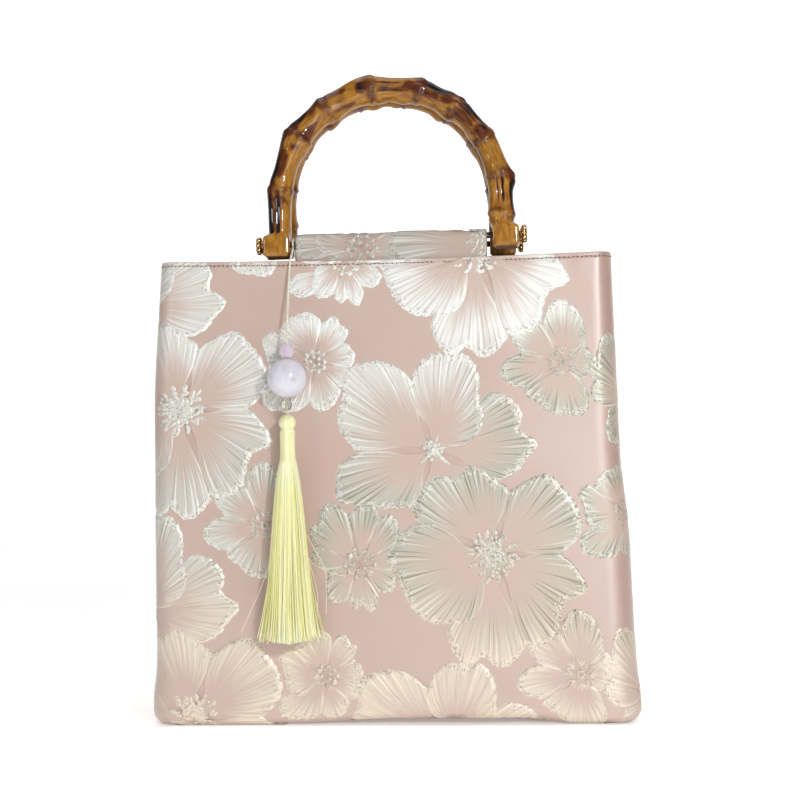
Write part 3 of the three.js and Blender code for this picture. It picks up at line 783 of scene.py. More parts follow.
def stamenGrids(place, middle, stamens, level, number):
    if stamens["style"] == "star":
        return starGrids(place, middle, stamens, level)
    grids = []
    count, reach, size = stamens["count"], stamens["reach"], stamens["size"]
    step = np.linspace(0, 1, 6)

    def spotAt(far, turn):
        return middle[0] + far * math.cos(turn), middle[1] + far * math.sin(turn)

    for k in range(count):
        wild = math.sin(3.7 * k + number)
        turn = tau * (k + 0.1 * wild) / count
        if stamens["style"] == "dots":
            far = reach * (1 + 0.08 * wild)
            grids.append(stitchDot(place, *spotAt(far, turn), size * (0.95 + 0.2 * math.sin(5.1 * k)), level))
            bow, inner = turn + tau / count * step, 0.88 * far
            grids.append(stitchStrip(place, middle[0] + inner * np.cos(bow), middle[1] + inner * np.sin(bow),
                                     0.3 * size, level))
            if k % 2:
                grids.append(stitchDot(place, *spotAt(0.45 * far, turn), 0.8 * size, level))
                x, z = spotAt(0.45 * far, turn)
                grids.append(stitchStrip(place, x + 0.5 * far * math.cos(turn) * step,
                                         z + 0.5 * far * math.sin(turn) * step, 0.32 * size, level))
        elif stamens["style"] == "forks":
            x0, z0 = spotAt(0.5 * reach, turn)
            for fan in (-0.65, 0, 0.65):
                far = size * (0.75 + 0.25 * math.cos(fan)) * step
                x, z = x0 + far * math.cos(turn + fan), z0 + far * math.sin(turn + fan)
                grids.append(stitchStrip(place, x, z, 0.6, level))
            grids.append(stitchDot(place, *spotAt(1.7, turn), 0.9, level))
        else:
            if k == 0:
                grids.append(stitchDot(place, *middle, 0.6 * reach, level - 0.1, 0.2))
            turn = 2.4 * k + 0.4 * wild
            share = math.sqrt((k + 0.7) / count)
            way = turn + 1.6 * (1 - share) * math.sin(2.9 * k + number) + 0.8 * math.sin(1.3 * k) * step
            long = size * (0.8 + 0.3 * math.sin(4.1 * k + number))
            x0, z0 = spotAt(reach * share, turn)
            x = x0 + np.cumsum(np.cos(way)) * long / 6 - long / 2 * math.cos(way[2])
            z = z0 + np.cumsum(np.sin(way)) * long / 6 - long / 2 * math.sin(way[2])
            grids.append(stitchStrip(place, x, z, 1.05, level))
    return grids


def flowerGrids(place, reachX, lowZ, highZ, shift, extras=()):
    # every flower of the repeat that can show; its stamens only where its middle does
    def shows(x, z, room):
        return abs(x) <= reachX + room and lowZ - room < z < highZ + room

    grids, number = [], 0
    for middle, edge in extras:
        number += 1
        grids.append(petalGrid(place, middle, edge, 0.1, number, 1))
    for flower in bouquet:
        for i in range(-3, 4):
            for j in range(-3, 4):
                moved = flower.get("moved", {}).get((i, j), (0, 0, 1))
                x, z = [flower["middle"][k] + i * repeat["upRight"][k] + j * repeat["downRight"][k]
                        + shift[k] + moved[k] for k in (0, 1)]
                if not shows(x, z, repeat["widest"]):
                    continue
                for order, edge in enumerate(flower["petals"]):
                    number += 1
                    level = flower["level"] + petalLook["layer"] * order
                    grids.append(petalGrid(place, (x, z), edge, level, number, moved[2]))
                top = flower["level"] + petalLook["layer"] * len(flower["petals"]) + 0.1
                if shows(x, z, repeat["centreRoom"]):
                    grids.extend(stamenGrids(place, (x, z), flower["stamens"], top, number))
    return grids


def onWall(side):
    # flowers stop at the hem, the seams and the curled lower edge, and lie flatter under the hem's stitches
    # and round the corners
    def place(x, z, lift):
        v = np.clip(z, -0.5, bag["height"] - 0.4)
        reach = seamReach(v) - 0.4
        sewn = np.clip((bag["height"] - bag["stitchDown"] - v) / 2.5, 0, 1)
        lift = np.where(lift > 0, lift * (0.15 + 0.85 * sewn), lift)
        u = np.clip(x - side * bodyValue("centre", v), -reach, reach)
        corner = np.clip((np.abs(u) - 108) / 12, 0, 1)
        lift = np.where(lift > 0, lift * (1 - 0.65 * corner), lift)
        return wallPoint(side, u, v, lift)
    return place


def panelFlowers(side, name, shift, extras=()):
    grids = flowerGrids(onWall(side), repeat["reach"], 0, repeat["top"], shift, extras)
    return finishPiece(joinGrids(name, grids, flowerCloth), "bag", "brocade")


frontFlowers = panelFlowers(1, "front_flowers", (0, 0), hemPetals)
backFlowers = panelFlowers(-1, "back_flowers", repeat["backShift"])


def hemStitches():
    grids = []
    ring, step = np.linspace(0, tau, 9)[:, None], np.array([0.05, 0.55, 0.85, 1.0])
    swell = np.array([0.34, 0.28, 0.14, -0.2])
    line = bag["height"] - bag["stitchDown"]
    for side in (1, -1):
        reach = float(seamReach(np.array(line))) - 1.5
        for k, u in enumerate(np.arange(-reach, reach, bag["stitchPitch"])):
            wobble = 0.12 * math.sin(2.1 * k)
            # the second shape of each stitch is the needle hole's painted shade
            shapes = [(*bag["stitchHalf"], 0.0, 0), (*bag["holeHalf"], bag["stitchPitch"] / 2, 1)]
            for long, tall, ahead, slot in shapes:
                x = u + ahead + long * step * np.cos(ring)
                v = line + wobble + tall * step * np.sin(ring)
                lift = np.broadcast_to(swell * (1 - 0.55 * slot) + 0.42, x.shape)
                chart = np.stack([x, v], -1) * 0.01
                grids.append({"points": wallPoint(side, x, v, lift), "map": chart, "slot": slot})
    return joinGrids("hem_stitches", grids, stitchThread, needleHoleShade)


finishPiece(hemStitches(), "bag", "brocade")
print("body cloth done")

# Both rods: way from the middle, height, radius, and reach to each end
rods = {"y": 16.0, "z": 251.5, "radius": 1.6, "reach": 70.4}

# Sleeves at the mouth, each folded over its rod
sleeve = {
    "x": 1.4, "width": 101.2, "cloth": 1.0, "slack": 0.3, "tiltRoom": 1.15, "tuck": 1.0, "tail": 21.0,
    "thick": 0.85, "edgeRound": 0.12, "flowerShift": (8.5, 5.0), "flowerReach": 52, "sleeveHighlightShare": 0.4,
}


def sleevePath():
    # the cloth's outer face from its foot against the wall, up, over the rod and down again
    room = rods["radius"] + sleeve["slack"] + sleeve["cloth"]
    top, low = rods["z"] + sleeve["tiltRoom"], rods["z"] - sleeve["tiltRoom"]
    high, foot = bag["height"], bag["height"] - sleeve["tail"]
    face = [bag["wall"] + 0.3 - float(bodyValue("halfDepth", np.array(z))) for z in (high, foot)]
    turn = np.linspace(math.pi, 0, 17)
    over = np.stack([room * np.cos(turn) - rods["y"], top + room * np.sin(turn)], -1)
    double = 2 * sleeve["cloth"]
    up = [(face[1], foot), (face[0], high), (-rods["y"] - room, low)]
    down = [(room - rods["y"], low - sleeve["tuck"]), (face[0] + double, high), (face[1] + double, foot)]
    corners = np.concatenate([up, over, down])
    far = wayAlong(corners)
    at = np.linspace(0, far[-1], 130)
    path = np.stack([np.interp(at, far, corners[:, k]) for k in (0, 1)], -1)
    for _ in range(6):
        path[1:-1] = (path[:-2] + 2 * path[1:-1] + path[2:]) / 4
    return at, path


sleeveAt, sleeveLine = sleevePath()
sleeveFoot = bag["height"] - sleeve["tail"]
sleeveOut = np.gradient(sleeveLine, axis=0)
sleeveOut = np.stack([-sleeveOut[:, 1], sleeveOut[:, 0]], -1)
sleeveOut /= np.linalg.norm(sleeveOut, axis=1, keepdims=True)


def sleevePoint(side, x, s, lift):
    # s is the way along the cloth above its foot
    y = np.interp(s, sleeveAt, sleeveLine[:, 0]) + lift * np.interp(s, sleeveAt, sleeveOut[:, 0])
    z = np.interp(s, sleeveAt, sleeveLine[:, 1]) + lift * np.interp(s, sleeveAt, sleeveOut[:, 1])
    z = z + 0.12 * np.sin(x / 9.0) * np.clip((z - bag["height"]) / 10, 0, 1)
    return np.stack([side * (x + sleeve["x"]), side * y, z], -1)


def sleeveCloth(side, name):
    half, thick = sleeve["width"] / 2, sleeve["thick"]
    x = np.concatenate([[-half], np.linspace(-half, half, 90), [half]])
    s = sleeveAt[[0, *range(len(sleeveAt)), -1]][:, None] + 0 * x
    x = x + 0 * s
    lift = np.zeros(s.shape)
    lift[:, [1, -2]] = -sleeve["edgeRound"]
    lift[:, [0, -1]] = -thick
    lift[[0, -1]] = -thick
    chart = np.stack([x, s], -1) * 0.01
    # the outer face carries the sleeves' painted shade
    outer = {"points": sleevePoint(side, x, s, lift), "map": chart, "values": {"shade": 1.0}}
    inner = {"points": sleevePoint(side, x, s, 0 * s - thick)[:, ::-1], "map": chart[:, ::-1], "slot": 1}
    return joinGrids(name, [outer, inner], satin, innerCloth, welded=True)


def onSleeve(side):
    def place(x, z, lift):
        u = np.clip(x - sleeve["x"], -sleeve["width"] / 2 + 0.3, sleeve["width"] / 2 - 0.3)
        s = np.clip(z - sleeveFoot, 0.3, sleeveAt[-1] - 0.3)
        return sleevePoint(side, u, s, 0.7 * np.maximum(lift, 0) + 0.02)
    return place


for side, name in ((1, "front"), (-1, "back")):
    cloth = finishPiece(sleeveCloth(side, name + "_sleeve"), "bag", "brocade", name + "_tab")
    sleeveHead = sleeveFoot + float(sleeveAt[-1])
    grids = flowerGrids(onSleeve(side), sleeve["flowerReach"], sleeveFoot, sleeveHead, sleeve["flowerShift"],
                        sleevePetals)
    for grid in grids:
        # on the sleeves the painted highlight is weaker and the painted shade is added
        grid["values"]["gleam"] = sleeve["sleeveHighlightShare"] * grid["values"]["gleam"]
        grid["values"]["shade"] = 1.0
    flowers = finishPiece(joinGrids(name + "_sleeve_flowers", grids, flowerCloth), "bag", "brocade")
print("sleeves done")

# Handles of bent bamboo root, squared at the ends
bamboo = {
    "lean": 6.0, "radius": 58.9, "rise": 23.3, "drop": 6.7, "stem": 6.2, "bow": 0.4, "rings": 240,
    "sides": 56, "chamfer": 1.6, "blockOut": 1.7, "blockHalf": 7.05, "blockTall": 11.5, "squareness": 9,
    "halves": {"front": {"turn": 0, "slid": 1.4, "tilt": 1.3},
               "back": {"turn": 180, "slid": 0.7, "tilt": 0.6}},
    "stemTone": (140, 89, 25), "honey": (176, 125, 45), "amber": (118, 62, 16), "brown": (92, 42, 10),
    "char": (12, 8, 7), "ringTone": (82, 34, 12),
}
# knuckles from the left leg to the right one: degrees on the arch, way down the leg, swelling
knuckles = [(174, 0, 1.15), (144.7, 0, 1.2), (124.4, 0, 1.14), (98, 0, 1.2), (72.4, 0, 1.17), (50.9, 0, 1.15),
            (28.7, 0, 1.1), (7.8, 0, 1.15), (0, 12.4, 1.12)]
# scorched streaks: millimetres along, degrees round from the front to the outer side, length, width, strength
scorches = [(22, 62, 29, 84, 1.0), (22, 3, 27, 22, 1.0), (46, 62, 34, 74, 0.95),
            (48, 12, 30, 44, 0.55), (70, 64, 28, 72, 1.0), (69, -30, 22, 50, 0.45), (66, 26, 10, 30, 0.5),
            (90, 40, 28, 36, 0.6), (96, -50, 20, 30, 0.4), (109, 10, 8, 60, 0.6),
            (122, 22, 22, 14, 0.6), (124, -14, 16, 22, 0.58), (118, 84, 24, 40, 0.5), (136, 10, 11, 60, 0.62),
            (149, 54, 26, 84, 1.0), (146, -14, 20, 54, 0.5), (156, 10, 9, 60, 0.7), (167, 64, 26, 74, 1.0),
            (168, 16, 22, 22, 0.8), (168, -22, 24, 60, 0.6), (180, 6, 9, 70, 0.72), (216, 74, 26, 56, 1.0),
            (213, 14, 17, 13, 0.95), (213, -13, 16, 11, 0.85), (199, -80, 30, 50, 0.55), (202, 0, 5, 40, 0.4),
            (30, -10, 6, 70, 0.55), (60, -10, 7, 60, 0.55), (81, 20, 7, 60, 0.55), (100, 180, 80, 80, 0.55),
            (200, 170, 50, 70, 0.6), (40, 190, 40, 60, 0.6)]
# grooves along the stem: millimetres along, degrees round, length, width, depth
grooves = [(22, 3, 24, 16, 0.7), (22, 30, 24, 14, 0.5), (46, 32, 24, 18, 0.45), (69, 22, 18, 18, 0.5),
           (122, 22, 22, 14, 0.6), (124, -14, 20, 14, 0.5), (146, 26, 18, 18, 0.5), (167, 34, 20, 14, 0.8),
           (167, 4, 20, 14, 0.8), (167, -24, 18, 14, 0.6), (213, 14, 17, 13, 0.9), (213, -13, 16, 12, 0.8)]
# buds: millimetres along, degrees round, spread, height
buds = [(209, 92, 4.0, 1.6), (108, 22, 2.6, 0.9), (134, 28, 2.6, 1.1), (179, 12, 3.0, 1.1),
        (156, 46, 3.0, 1.0), (81, 20, 2.8, 0.9), (61, 22, 2.6, 0.8), (30, 20, 2.8, 0.7), (200, 10, 3.0, 0.8),
        (92, -95, 4.0, 1.5), (131, -95, 4.0, 1.6), (158, -95, 4.5, 1.5), (179, -95, 3.6, 1.0),
        (119, -95, 3.0, 0.7), (60, -95, 4.0, 0.8), (66, 90, 14, 1.3), (107, 84, 7, 1.5), (98, 90, 10, 0.5),
        (177, 90, 12, -0.9)]


def bambooPath():
    # centre line and thickness of the stem from foot to foot, in the handle's own plane
    foot = bamboo["rise"] + bamboo["drop"]
    stops = [(180, foot, 1.0), *knuckles, (0, foot, 1.0)]
    steps = 60

    def spot(degrees, down):
        turn = math.radians(degrees)
        out = np.array([math.cos(turn), math.sin(turn)]) * bamboo["radius"]
        return out + np.array([0, bamboo["rise"] - down])

    points, widths = [], []
    for (a, aDown, aSwell), (b, bDown, bSwell) in zip(stops[:-1], stops[1:]):
        start, end = spot(a, aDown), spot(b, bDown)
        out = start + end - np.array([0, 2 * bamboo["rise"]])
        out = out / np.linalg.norm(out)
        bulge = bamboo["bow"] * bamboo["radius"] * (1 - math.cos(math.radians(a - b) / 2))
        share = np.linspace(0, 1, steps, endpoint=False)
        bowed = out * (4 * bulge * share * (1 - share))[:, None]
        points.append(start + (end - start) * share[:, None] + bowed)
        leaving = smoothLine(share, [0, 0.12, 0.35, 0.6, 1], [1, 0.7, 0.12, 0, 0])
        coming = smoothLine(share, [0, 0.5, 0.75, 0.9, 1], [0, 0, 0.25, 0.75, 1])
        widths.append(1 + (aSwell - 1) * leaving + (bSwell - 1) * coming)
    points.append(spot(0, foot)[None])
    widths.append(np.ones(1))
    line, width = np.concatenate(points), np.concatenate(widths)
    far = wayAlong(line)
    close = np.array([0, 0, 0.2, 0.6, 1.1, 1.6])
    between = np.linspace(2.4, far[-1] - 2.4, bamboo["rings"] + 1 - 2 * len(close))
    at = np.concatenate([close, between, far[-1] - close[::-1]])
    line = np.stack([np.interp(at, far, line[:, k]) for k in (0, 1)], -1)
    held = len(close) + 1      # the cut ends stay straight
    for _ in range(12):
        line[held:-held] = (line[held - 1:-held - 1] + 2 * line[held:-held] + line[held + 1:1 - held]) / 4
    joints = [far[steps * (k + 1)] for k in range(len(knuckles))]
    return at, line, np.interp(at, far, width), joints


def spotShare(along, around, row):
    # 1 in the middle of a streak, fading to its ends and sides
    place, degrees, long, wide = row[:4]
    off = (around - degrees + 180) % 360 - 180
    return np.exp(-(np.abs(2 * (along - place) / long) ** 2.6)) * np.exp(-((2 * off / wide) ** 4))


def bambooStem(name, material):
    bpy.ops.object.select_all(action="DESELECT")
    bpy.ops.mesh.primitive_grid_add(x_subdivisions=bamboo["rings"], y_subdivisions=bamboo["sides"], size=1)
    stem = bpy.context.object
    stem.name = name
    flat = np.zeros(len(stem.data.vertices) * 3)
    stem.data.vertices.foreach_get("co", flat)
    flat = flat.reshape(-1, 3) + 0.5
    at, line, width, joints = bambooPath()
    ring = np.rint(flat[:, 0] * bamboo["rings"]).astype(int)
    around = flat[:, 1] * 360 - 180
    turn = np.radians(around)
    along = at[ring]
    ahead = np.gradient(line[1:-1], axis=0)
    ahead = np.concatenate([ahead[:1], ahead, ahead[-1:]])
    ahead /= np.linalg.norm(ahead, axis=1, keepdims=True)
    out = np.stack([-ahead[:, 1], ahead[:, 0]], -1)[ring]
    reach = bamboo["stem"] * width[ring]
    reach = reach * (1 + 0.03 * np.sin(2 * turn + along / 21) + 0.02 * np.sin(along / 6.1 + 3 * turn))
    for joint in joints:
        gap = along - joint - 0.8 * np.sin(turn + joint)
        reach += 0.45 * np.exp(-((gap / 1.5) ** 2)) - 0.34 * np.exp(-(((gap - 2.3) / 0.9) ** 2))
    for row in grooves:
        reach -= row[4] * spotShare(along, around, row)
    for place, degrees, spread, height in buds:
        off = np.radians((around - degrees + 180) % 360 - 180) * bamboo["stem"]
        reach += height * np.exp(-((along - place) ** 2 + off ** 2) / spread ** 2)
    # the ends are cut square, with a small chamfer and a flat foot
    fromEnd = np.minimum(along, at[-1] - along)
    squared = easy((bamboo["blockTall"] + 1.5 - fromEnd) / 3.0)
    power = bamboo["squareness"]
    box = bamboo["blockHalf"] / (np.abs(np.cos(turn)) ** power + np.abs(np.sin(turn)) ** power) ** (1 / power)
    box = box - np.clip(bamboo["chamfer"] - fromEnd, 0, None)
    reach = reach + (box - reach) * squared
    reach = np.where((ring == 0) | (ring == bamboo["rings"]), 0.0, reach)
    sideways = reach * np.sin(turn) + bamboo["blockOut"] * squared
    points = np.stack([line[ring][:, 0] + sideways * out[:, 0], -reach * np.cos(turn),
                       line[ring][:, 1] + sideways * out[:, 1]], -1) * mm
    stem.data.vertices.foreach_set("co", points.reshape(-1))
    burnt = np.zeros(len(points))
    for row in scorches:
        burnt = np.maximum(burnt, row[4] * spotShare(along, around, row))
    burnt = burnt * (1 - squared)
    near = np.min([np.abs(along - joint) for joint in joints], axis=0)
    for key, value in (("burnt", burnt), ("nearJoint", near)):
        stem.data.attributes.new(key, "FLOAT", "POINT").data.foreach_set("value", value.astype(np.float32))
    bpy.ops.object.mode_set(mode="EDIT")
    bpy.ops.mesh.select_all(action="SELECT")
    bpy.ops.mesh.remove_doubles(threshold=0.00001)
    bpy.ops.mesh.dissolve_degenerate(threshold=0.000001)
    bpy.ops.object.mode_set(mode="OBJECT")
    bpy.ops.object.shade_smooth_by_angle(angle=math.radians(40))
    stem.data.materials.append(material)
    return stem


def handlePlace(name):
    side = bamboo["halves"][name]
    turn = Matrix.Rotation(math.radians(side["turn"]), 4, "Z")
    move = Matrix.Translation(Vector((side["slid"], -rods["y"], rods["z"])) * mm)
    tilt = Matrix.Rotation(math.radians(-side["tilt"]), 4, "Y")
    lean = Matrix.Rotation(math.radians(-bamboo["lean"]), 4, "X")
    return turn @ move @ tilt @ lean


def bambooMaterial():
    gloss = {"Coat_Weight": 0.6, "Coat_Roughness": 0.05, "Specular_IOR_Level": 0.15}
    material, tree, shader = newMaterial("lacquered_bamboo", Roughness=0.4, **gloss)
    burnt = markOf(tree, "burnt")
    near = markOf(tree, "nearJoint")
    chart = chartOf(tree, "UVMap")
    cloud = noiseAt(tree, placeOf(tree), 90.0, 3.0)
    patch = noiseAt(tree, chart, 9.0, 3.0, (3.2, 1, 1))
    tones = bamboo["stemTone"], bamboo["honey"]
    colour, grain = mottled(tree, chart, 26.0, *tones, (0.3, 0.7), 3.0, (1.6, 1, 1))
    colour = mixColour(tree, fade(tree, patch, 0.52, 0.68, 0, 0.6), colour, paint(*bamboo["amber"]))
    rough = calc(tree, "ADD", calc(tree, "SUBTRACT", patch, 0.5), calc(tree, "SUBTRACT", cloud, 0.5))
    ragged = calc(tree, "ADD", burnt, calc(tree, "MULTIPLY", rough, 0.8))
    ragged = calc(tree, "ADD", ragged, calc(tree, "MULTIPLY", calc(tree, "SUBTRACT", grain, 0.5), 0.5))
    colour = mixColour(tree, fade(tree, ragged, 0.24, 0.5), colour, paint(*bamboo["brown"]))
    colour = mixColour(tree, fade(tree, ragged, 0.54, 0.76), colour, paint(*bamboo["char"]))
    ringed = calc(tree, "MULTIPLY", fade(tree, near, 5.0, 1.2), fade(tree, cloud, 0.32, 0.54))
    colour = mixColour(tree, calc(tree, "MULTIPLY", ringed, 0.85), colour, paint(*bamboo["ringTone"]))
    tree.links.new(colour, shader.inputs["Base Color"])
    addBump(tree, shader, grain, 0.0005, 0.25)
    return material


lacquer = bambooMaterial()
for name in ("front", "back"):
    stem = bambooStem(name + "_bamboo", lacquer)
    stem.data.transform(handlePlace(name))
    finishPiece(stem, name + "_grip", "bamboo", name + "_handle")
print("handles done")

# Rods and lobed nuts
metal = {
    "start": 68.0, "thick": 3.8, "ring": 3.35, "lobe": 1.5, "lobes": 8, "washer": 2.7, "hub": 2.5,
    "gold": [(168, 122, 66), (242, 212, 158)], "dark": [(44, 38, 34), (104, 88, 70)],
}


def goldMaterial():
    material, tree, shader = newMaterial("gold_nut", Metallic=1.0, Roughness=0.22)
    colour, rub = mottled(tree, placeOf(tree), 900.0, *metal["gold"], (0.35, 0.7))
    tree.links.new(colour, shader.inputs["Base Color"])
    tree.links.new(fade(tree, rub, 0.3, 0.7, 0.16, 0.34), shader.inputs["Roughness"])
    return material


def darkMetalMaterial():
    material, tree, shader = newMaterial("dark_rod", Metallic=1.0, Roughness=0.35)
    colour, rub = mottled(tree, placeOf(tree), 700.0, *metal["dark"], (0.35, 0.7), 3.0, (0.1, 1, 1))
    tree.links.new(colour, shader.inputs["Base Color"])
    addBump(tree, shader, rub, 0.0001, 0.3)
    return material


gold = goldMaterial()
darkMetal = darkMetalMaterial()


def primitiveAlongX(add, place, material, **sizes):
    bpy.ops.object.select_all(action="DESELECT")
    add(location=Vector(place) * mm, rotation=(0, math.pi / 2, 0), **sizes)
    piece = bpy.context.object
    bpy.ops.object.transform_apply(location=True, rotation=True, scale=True)
    piece.data.materials.append(material)
    return piece


def bevelled(piece, width, segments=2):
    pickOnly(piece)
    bevel = piece.modifiers.new("round", "BEVEL")
    bevel.width, bevel.segments = width * mm, segments
    bpy.ops.object.modifier_apply(modifier="round")
    bpy.ops.object.shade_smooth_by_angle(angle=math.radians(40))
    return piece


def joined(pieces, name):
    bpy.ops.object.select_all(action="DESELECT")
    for piece in pieces:
        piece.select_set(True)
    bpy.context.view_layer.objects.active = pieces[0]
    bpy.ops.object.join()
    pieces[0].name = name
    return pieces[0]


def roundBar(along, radius, length, material, vertices):
    return primitiveAlongX(bpy.ops.mesh.primitive_cylinder_add, (along, 0, 0), material, vertices=vertices,
                           radius=radius * mm, depth=length * mm)


def lobedNut():
    start, thick = metal["start"], metal["thick"]
    washer = bevelled(roundBar(start + 0.5, metal["washer"], 0.8, gold, 24), 0.2)
    hub = bevelled(roundBar(start + thick / 2 + 0.4, metal["hub"], thick - 1, gold, 24), 0.7, 3)
    parts = [hub, washer]
    for k in range(metal["lobes"]):
        turn = tau * k / metal["lobes"]
        place = (start + 2.2, metal["ring"] * math.cos(turn), metal["ring"] * math.sin(turn))
        lobe = primitiveAlongX(bpy.ops.mesh.primitive_uv_sphere_add, place, gold, segments=14, ring_count=10,
                               radius=metal["lobe"] * mm)
        bpy.ops.object.shade_smooth()
        parts.append(lobe)
    return joined(parts, "nut")


def rodPiece(name):
    rod = bevelled(roundBar(0, rods["radius"], 2 * rods["reach"], darkMetal, 28), 0.25)
    rod.name = name
    return rod


for name in ("front", "back"):
    rod = rodPiece(name + "_steel_rod")
    rod.data.transform(handlePlace(name))
    finishPiece(rod, name + "_grip", "dark_metal", name + "_rod")
    for end, facing in (("right", 1), ("left", -1)):
        if name == "back":
            facing = -facing
        nut = lobedNut()
        nut.name = f"{name}_cap_{end}"
        turned = Matrix.Rotation(0 if facing > 0 else math.pi, 4, "Z")
        nut.data.transform(handlePlace(name) @ turned)
        finishPiece(nut, name + "_grip", "gold", f"{name}_nut_{end}")
print("rods and nuts done")

# The charm: a thread with three beads and a tassel
charm = {
    "x": -52.0, "y": -38.1, "z": 197.0, "slope": 3.0, "thread": 0.6, "twist": 2.2, "loopX": -50.6,
    "bare": 1.9, "gap": 0.3, "cream": (252, 246, 226),
}
beadSizes = {"lilac": (4.2, 7.2), "round": (10.3, 20.4), "clear": (2.7, 6.3)}
threadRoute = [
    (-50.6, -18.4, 247.9), (-50.7, -20.3, 245.8), (-50.9, -22, 244), (-51.2, -23.3, 242), (-51.5, -24.3, 239),
    (-51.7, -26, 234), (-51.8, -28.3, 227), (-51.9, -30.9, 219), (-52, -33.5, 211), (-52, -36, 203.3),
    (-52, -37.4, 199.2),
]
beadTop = {"lilac": 0.0}
beadTop["round"] = beadTop["lilac"] + beadSizes["lilac"][1] + charm["gap"]
beadTop["clear"] = beadTop["round"] + beadSizes["round"][1] + charm["gap"]
tasselTop = beadTop["clear"] + beadSizes["clear"][1] + charm["bare"]


def charmPoint(down):
    slope = math.radians(charm["slope"])
    return np.array([charm["x"], charm["y"] - down * math.sin(slope), charm["z"] - down * math.cos(slope)])


def charmPlace(down):
    tip = Matrix.Rotation(math.radians(-charm["slope"]), 4, "X")
    return Matrix.Translation(Vector(charmPoint(down)) * mm) @ tip


def threadLine():
    stops = [np.array(p, float) for p in threadRoute]
    stops += [charmPoint(d) for d in np.linspace(0, tasselTop - charm["gap"], 7)]
    stops = np.array(stops)
    far = wayAlong(stops)
    at = np.linspace(0, far[-1], 260)
    return np.stack([smoothLine(at, far, stops[:, k]) for k in range(3)], -1)


def twistedGrid(path, radius, lay):
    # two strands laid round each other, as one tube
    sides = 14
    far = wayAlong(path)
    turn = np.arange(sides) * tau / sides
    ply = np.abs(np.cos(turn[None] - far[:, None] * math.pi / lay))
    return tubeGrid(path, radius * (0.66 + 0.34 * ply), sides, (1.0, 0.0, 0.0))


creamThread = plainCloth("cream_thread", charm["cream"], 0.6)


def loopLine():
    # once round the tilted front rod
    front = bamboo["halves"]["front"]
    rise = (charm["loopX"] - front["slid"]) * math.tan(math.radians(front["tilt"]))
    turn = np.linspace(0, tau, 61)
    reach = rods["radius"] + charm["gap"] + charm["thread"]
    return np.stack([0 * turn + charm["loopX"], reach * np.cos(turn) - rods["y"],
                     reach * np.sin(turn) + rods["z"] + rise], -1)


def threadAlong(name, path, node):
    piece = joinGrids(name, [twistedGrid(path, charm["thread"], charm["twist"])], creamThread)
    return finishPiece(piece, "bag", "cream_thread", node)


line = threadLine()
threadPiece = threadAlong("hanging_thread", line, "thread")
loopPiece = threadAlong("thread_knot", loopLine(), "thread_loop")


def glassMaterial(name, colour, deep, roughness, transmission, warmTints=(), **finish):
    finish.update(Roughness=roughness, IOR=1.49, Transmission_Weight=transmission)
    material, tree, shader = newMaterial(name, **finish)
    spot = placeOf(tree)
    shade, _ = mottled(tree, spot, 190.0, deep, colour, (0.38, 0.62))
    # painted warm tints inside the glass
    for across, forward, up, reach, share in warmTints:
        middle = charmPoint(beadTop["round"] + beadSizes["round"][1] / 2) + np.array([across, -forward, up])
        away = addNode(tree, "ShaderNodeVectorMath", {0: spot, 1: middle * mm}, operation="DISTANCE")
        near = fade(tree, away.outputs["Value"], reach * mm, 0.0, 0.0, share)
        shade = mixColour(tree, near, shade, paint(*milkyTint))
    tree.links.new(shade, shader.inputs["Base Color"])
    return material


def seated(bead, name, height, down, material):
    bead.name = name
    bead.data.transform(charmPlace(down + height / 2))
    bead.data.materials.append(material)
    return bead


def facetedBead(name, radius, height, down, material):
    bpy.ops.object.select_all(action="DESELECT")
    bpy.ops.mesh.primitive_cylinder_add(vertices=10, radius=radius * mm, depth=height * mm)
    bead = bpy.context.object
    bpy.ops.object.mode_set(mode="EDIT")
    bpy.ops.mesh.select_all(action="SELECT")
    bpy.ops.mesh.subdivide(number_cuts=2)
    bpy.ops.object.mode_set(mode="OBJECT")
    for vertex in bead.data.vertices:
        share = abs(vertex.co.z) / (height * mm / 2)
        pinch = 1 - 0.38 * max(0, (share - 0.3) / 0.7)
        vertex.co.x *= pinch
        vertex.co.y *= pinch
    return seated(bead, name, height, down, material)


def roundBead(name, radius, height, down, material):
    bpy.ops.object.select_all(action="DESELECT")
    bpy.ops.mesh.primitive_uv_sphere_add(segments=56, ring_count=36, radius=radius * mm)
    bead = bpy.context.object
    bpy.ops.object.shade_smooth()
    bead.data.transform(Matrix.Scale(height / 2 / radius, 4, (0, 0, 1)))
    return seated(bead, name, height, down, material)


# painted warm tints in the milky ball, of the thread inside and one spot: across, forward and up from its
# middle, reach, share
milkyTint = (214, 178, 160)
milkyWarmTints = [(5.0, 8.9, -0.9, 2.6, 0.4), (0.4, 8.0, 6.5, 2.6, 0.16), (0.5, 9.5, 4.0, 2.4, 0.14)]
lilacGlass = glassMaterial("lilac_glass", (254, 246, 253), (242, 222, 242), 0.05, 0.5)
milkyGlass = glassMaterial("milky_glass", (239, 237, 245), (232, 229, 241), 0.1, 0.25, milkyWarmTints,
                           Subsurface_Weight=0.4, Subsurface_Radius=(1.0, 0.9, 1.1), Subsurface_Scale=0.006)
clearGlass = glassMaterial("clear_glass", (250, 246, 240), (240, 232, 224), 0.03, 0.92)
lilac = facetedBead("lilac_facets", *beadSizes["lilac"], beadTop["lilac"], lilacGlass)
milky = roundBead("milky_ball", *beadSizes["round"], beadTop["round"], milkyGlass)
clear = facetedBead("clear_facets", *beadSizes["clear"], beadTop["clear"], clearGlass)
finishPiece(lilac, "bag", "lilac_bead", "lilac_bead")
finishPiece(milky, "bag", "milky_bead", "round_bead")
finishPiece(clear, "bag", "clear_bead", "clear_bead")

